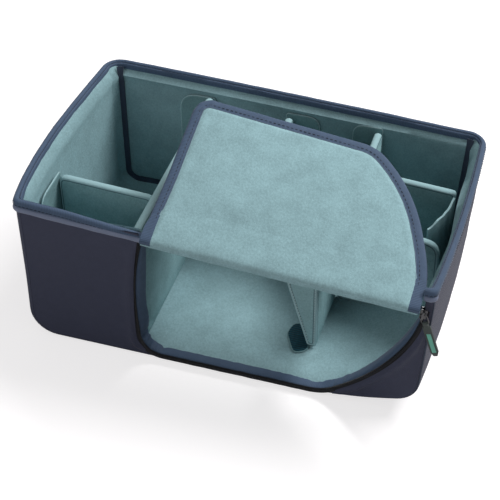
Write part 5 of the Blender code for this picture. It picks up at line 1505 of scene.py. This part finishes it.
def make_wing():
    """Thin wing at the end of the long cross divider, folded forward along the right end, softly creased."""
    steps = np.array([(0, -0.0006), (-0.0018, -0.018), (-0.0045, -0.032), (-0.011, -0.043), (-0.018, -0.051)])
    path, share, foot = resample(LONG_CROSS_CORNER + steps, count=26), crowded(16, 0.6), 0.058
    top = rim_height(path[:, 0], path[:, 1]) - 0.031 - 0.006 * fade(np.linspace(0, 1, len(path)), 0.75, 1.0)
    z = foot + (top[:, None] - foot) * share
    x, y = (np.repeat(column[:, None], len(share), axis=1) for column in path.T)
    run = length_along(np.stack([x, y, z], axis=-1), 0)
    crease = 0.0009 * np.sin(run / 0.0065) * fade(run, 0.014, 0.024)
    points = plain_place(x + crease, y, z)
    mesh = sheet_mesh("wing", points, SOFT_FOLD, points + np.array([-0.05, 0.02, 0]))
    add_piece(mesh, DIVIDER_CLOTH, "long_cross", ["long_cross_wing"])


make_wing()
print("right bay dividers made")

# %% [markdown]
# Every divider ends in thin tabs of hook fabric that grip the lining. They are flat slabs with a
# fine light piping round their edge, in a darker teal, and some have moulded ribs.

# %% Tabs


def tab_outline(left, right, foot, top, radius, round_left):
    """Tab with one large rounded top corner and small ones elsewhere."""
    radii = [0.003, 0.003, 0.003, 0.003]
    radii[3 if round_left else 2] = radius
    return rounded([(left, foot), (right, foot), (right, top), (left, top)], radii, 8)


def piping_mesh(name, outline, place, level):
    """Fine welt just inside the border of a slab at a level, a closed tube."""
    outline = fine_outline(outline, 0.004)
    middle = (outline.max(0) + outline.min(0)) / 2
    path, radius = place(outline + 0.0002 * unit(middle - outline), level), 0.0008
    up = path - place(outline * 0 + middle, level)
    return tube_mesh(name, path, radius, radius, up, sides=7, closed=True)


def add_tab(name, outline, place, body, node_name, thickness=TAB, finish=HOOK):
    """Thin hook tab with piping along its edge."""
    mesh = slab_mesh(name, outline, place, 0, thickness, 0.0012, seed=3, step=0.003)
    add_piece(mesh, finish, body, [node_name])
    welt = piping_mesh(name + "_piping", outline, place, thickness * 0.5)
    add_piece(welt, PIPING if finish is HOOK else HOOK, body)


def tab_back(left, right):
    """Front side of the back lining, the nearest between two places along the bag, less a gap and a tab."""
    wall = bag_place(np.array([left, right]), DEPTH - WALL, 0)[:, 1].min() + DEPTH / 2
    return float(wall) - TAB_GAP - TAB


LONG_END, LEFT_TAB_END, RIGHT_TAB_END = LEFT_LONG_X + THICK, BACK_LEFT_X + 0.037, BACK_RIGHT_X + THICK - 0.001
for name, left, right, foot, head_x, drop, radius, round_left in (
        ("left_long", LEFT_LONG_X - 0.032, LONG_END, 0.072, LEFT_LONG_X, 0.020, 0.022, True),
        ("back_left", BACK_LEFT_X, LEFT_TAB_END, 0.085, LEFT_TAB_END, 0.0175, 0.014, False),
        ("back_right", RIGHT_TAB_END - 0.0325, RIGHT_TAB_END, 0.080, BACK_RIGHT_X, 0.0135, 0.014, True)):
    outline = tab_outline(left, right, foot, rim_height(head_x, DEPTH) - drop, radius, round_left)
    add_tab(name + "_hook", outline, stand_along_x(tab_back(left, right)), name, name + "_tab")

inner_x = LEFT_LONG_X - TAB_GAP - TAB
for name, x, at_x, width, foot, drop, thickness, finish in (
        ("wall", 0.0073, LEFT_CROSS_START, 0.042, 0.062, 0.030, 0.0022, HOOK),
        ("inner", inner_x, inner_x, 0.037, 0.070, 0.034, TAB, RIBBED_HOOK)):
    outline = tab_outline(LEFT_CROSS_Y - width, LEFT_CROSS_Y + THICK, foot,
                          rim_height(at_x, LEFT_CROSS_Y) - drop, 0.018, True)
    add_tab("left_cross_" + name + "_hook", outline, stand_along_y(x), "left_cross",
            "left_cross_" + name + "_tab", thickness, finish)

x = FRONT_DIVIDER_X
end_tab = np.array([(-0.0010, 0.0135), (0.0085, 0.0135), (0.0085, 0.108), (-0.022, 0.110), (-0.024, 0.098)])
end_tab = rounded(end_tab + [x, 0], [0.001, 0.001, 0.002, 0.003, 0.006])
mesh = slab_mesh("front_end_flap", end_tab, stand_along_x(0.0492), 0, TAB, 0.0012, seed=5, step=0.003)
add_piece(mesh, DIVIDER_CLOTH, "front_bay", ["front_divider_end_tab"])
floor_tab = np.array([(-0.026, 0.010), (-0.022, 0.026), (-0.008, 0.026), (-0.0008, 0.010), (0.0010, -0.010),
                      (-0.012, -0.016)]) + [x, 0.052]
floor_level = float(base_height(x, WALL)) + DIVIDER_LIFT
add_tab("front_floor_hook", rounded(floor_tab, 0.006),
        lambda flat, level: plain_place(flat[..., 0], flat[..., 1], floor_level + level), "front_bay",
        "front_divider_floor_tab", finish=RIBBED_HOOK)
flap_sides = np.array([[(-0.0212, 0.098), (0.0012, 0.018)], [(0.0065, 0.104), (0.0065, 0.018)]]) + [x, 0]
paths = [plain_place(side[:, 0], 0.0490, side[:, 1]) for side in flap_sides]
mesh = stitch_mesh("front_end_thread", paths, [-INWARD, -INWARD], length=0.0022, pitch=0.0036, radius=0.0004)
add_piece(mesh, LIGHT_THREAD, "front_bay")
print("tabs made")

# %% [markdown]
# The zip's slider, link and pull are hard and right as solids, so they stay and only get their
# finishes: dull dark metal, soft rubber and a teal insert.

# %% Zip pull
for name, finish in (("zip_slider", METAL), ("pull_link", METAL), ("puller", RUBBER),
                     ("puller_inlay", TEAL_RUBBER)):
    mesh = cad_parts[name].data
    mesh.materials.clear()
    mesh.materials.append(finish)

# %% [markdown]
# A pale floor, a long narrow lamp above and behind on the right, a weak broad one in front on the
# left, and a dim even sky. The photo's own room isn't copied: its ground is near white, which
# comes from the floor's colour as the camera sees it, and the shadow stays on it.

# %% Floor, light and camera
scene = bpy.context.scene
scene.view_settings.view_transform = "Standard"
CAMERA_PLACE = (0.3445, -1.1035, 1.1027)


def camera_mix(tree, lit, seen, out_kind):
    """Send one shader to the camera's rays and another to all others."""
    ray = node(tree, "ShaderNodeLightPath").outputs["Is Camera Ray"]
    mix = node(tree, "ShaderNodeMixShader", {"Fac": ray, 1: lit, 2: seen}).outputs[0]
    node(tree, out_kind, {"Surface": mix})


def make_floor():
    """Square floor just under the bag; its colour is lifted for camera rays only."""
    half, level = 6.0, -0.0003
    mesh = bpy.data.meshes.new("floor")
    corners = [(-half, -half, level), (half, -half, level), (half, half, level), (-half, half, level)]
    mesh.from_pydata(corners, [], [(0, 1, 2, 3)])
    obj = bpy.data.objects.new("floor", mesh)
    scene.collection.objects.link(obj)
    material = bpy.data.materials.new("floor")
    material.use_nodes = True
    tree = material.node_tree
    tree.nodes.clear()
    lit, seen = (node(tree, "ShaderNodeBsdfDiffuse", {"Color": colour}).outputs[0]
                 for colour in ((0.60, 0.585, 0.59, 1), (0.56, 0.545, 0.55, 1)))
    glow = node(tree, "ShaderNodeEmission", {"Color": (1, 0.99, 0.995, 1), "Strength": 0.66}).outputs[0]
    camera_mix(tree, lit, node(tree, "ShaderNodeAddShader", {0: seen, 1: glow}).outputs[0],
               "ShaderNodeOutputMaterial")
    mesh.materials.append(material)


def make_sky():
    """Even sky: dim for the object, white for the camera."""
    scene.world = bpy.data.worlds.new("sky")
    scene.world.use_nodes = True
    tree = scene.world.node_tree
    tree.nodes.clear()
    dim, white = (node(tree, "ShaderNodeBackground", {"Color": (1, 1, 1, 1), "Strength": strength}).outputs[0]
                  for strength in (0.23, 1.0))
    camera_mix(tree, dim, white, "ShaderNodeOutputWorld")


def add_lamp(name, place, wide, tall, power):
    """Oblong lamp aimed at the middle of the insert."""
    data = bpy.data.lights.new(name, "AREA")
    data.shape, data.size, data.size_y, data.energy = "RECTANGLE", wide, tall, power
    lamp = bpy.data.objects.new(name, data)
    lamp.location = place
    lamp.rotation_euler = (Vector((0, 0, 0.1)) - Vector(place)).to_track_quat("-Z", "Y").to_euler()
    scene.collection.objects.link(lamp)


make_floor()
make_sky()
add_lamp("key", (0.95, 1.05, 2.0), 2.0, 0.35, 64)
add_lamp("fill", (-0.9, -2.0, 1.3), 2.0, 1.0, 12)


def make_camera():
    """Camera where the photograph was taken from: its place, three angles and its lens."""
    azimuth, elevation, roll = (math.radians(angle) for angle in (17.796, 42.18, -0.728))
    forward = np.array([-math.sin(azimuth) * math.cos(elevation), math.cos(azimuth) * math.cos(elevation),
                        -math.sin(elevation)])
    right = unit(np.cross(forward, [0, 0, 1]))
    up = np.cross(right, forward)
    turned_right = math.cos(roll) * right + math.sin(roll) * up
    turned_up = -math.sin(roll) * right + math.cos(roll) * up
    data = bpy.data.cameras.new("camera")
    data.sensor_width, data.lens = 36, 104.4
    camera = bpy.data.objects.new("camera", data)
    matrix = np.eye(4)
    matrix[:3] = np.stack([turned_right, turned_up, -forward, CAMERA_PLACE], axis=1)
    camera.matrix_world = Matrix(matrix.tolist())
    scene.collection.objects.link(camera)
    scene.camera = camera


make_camera()
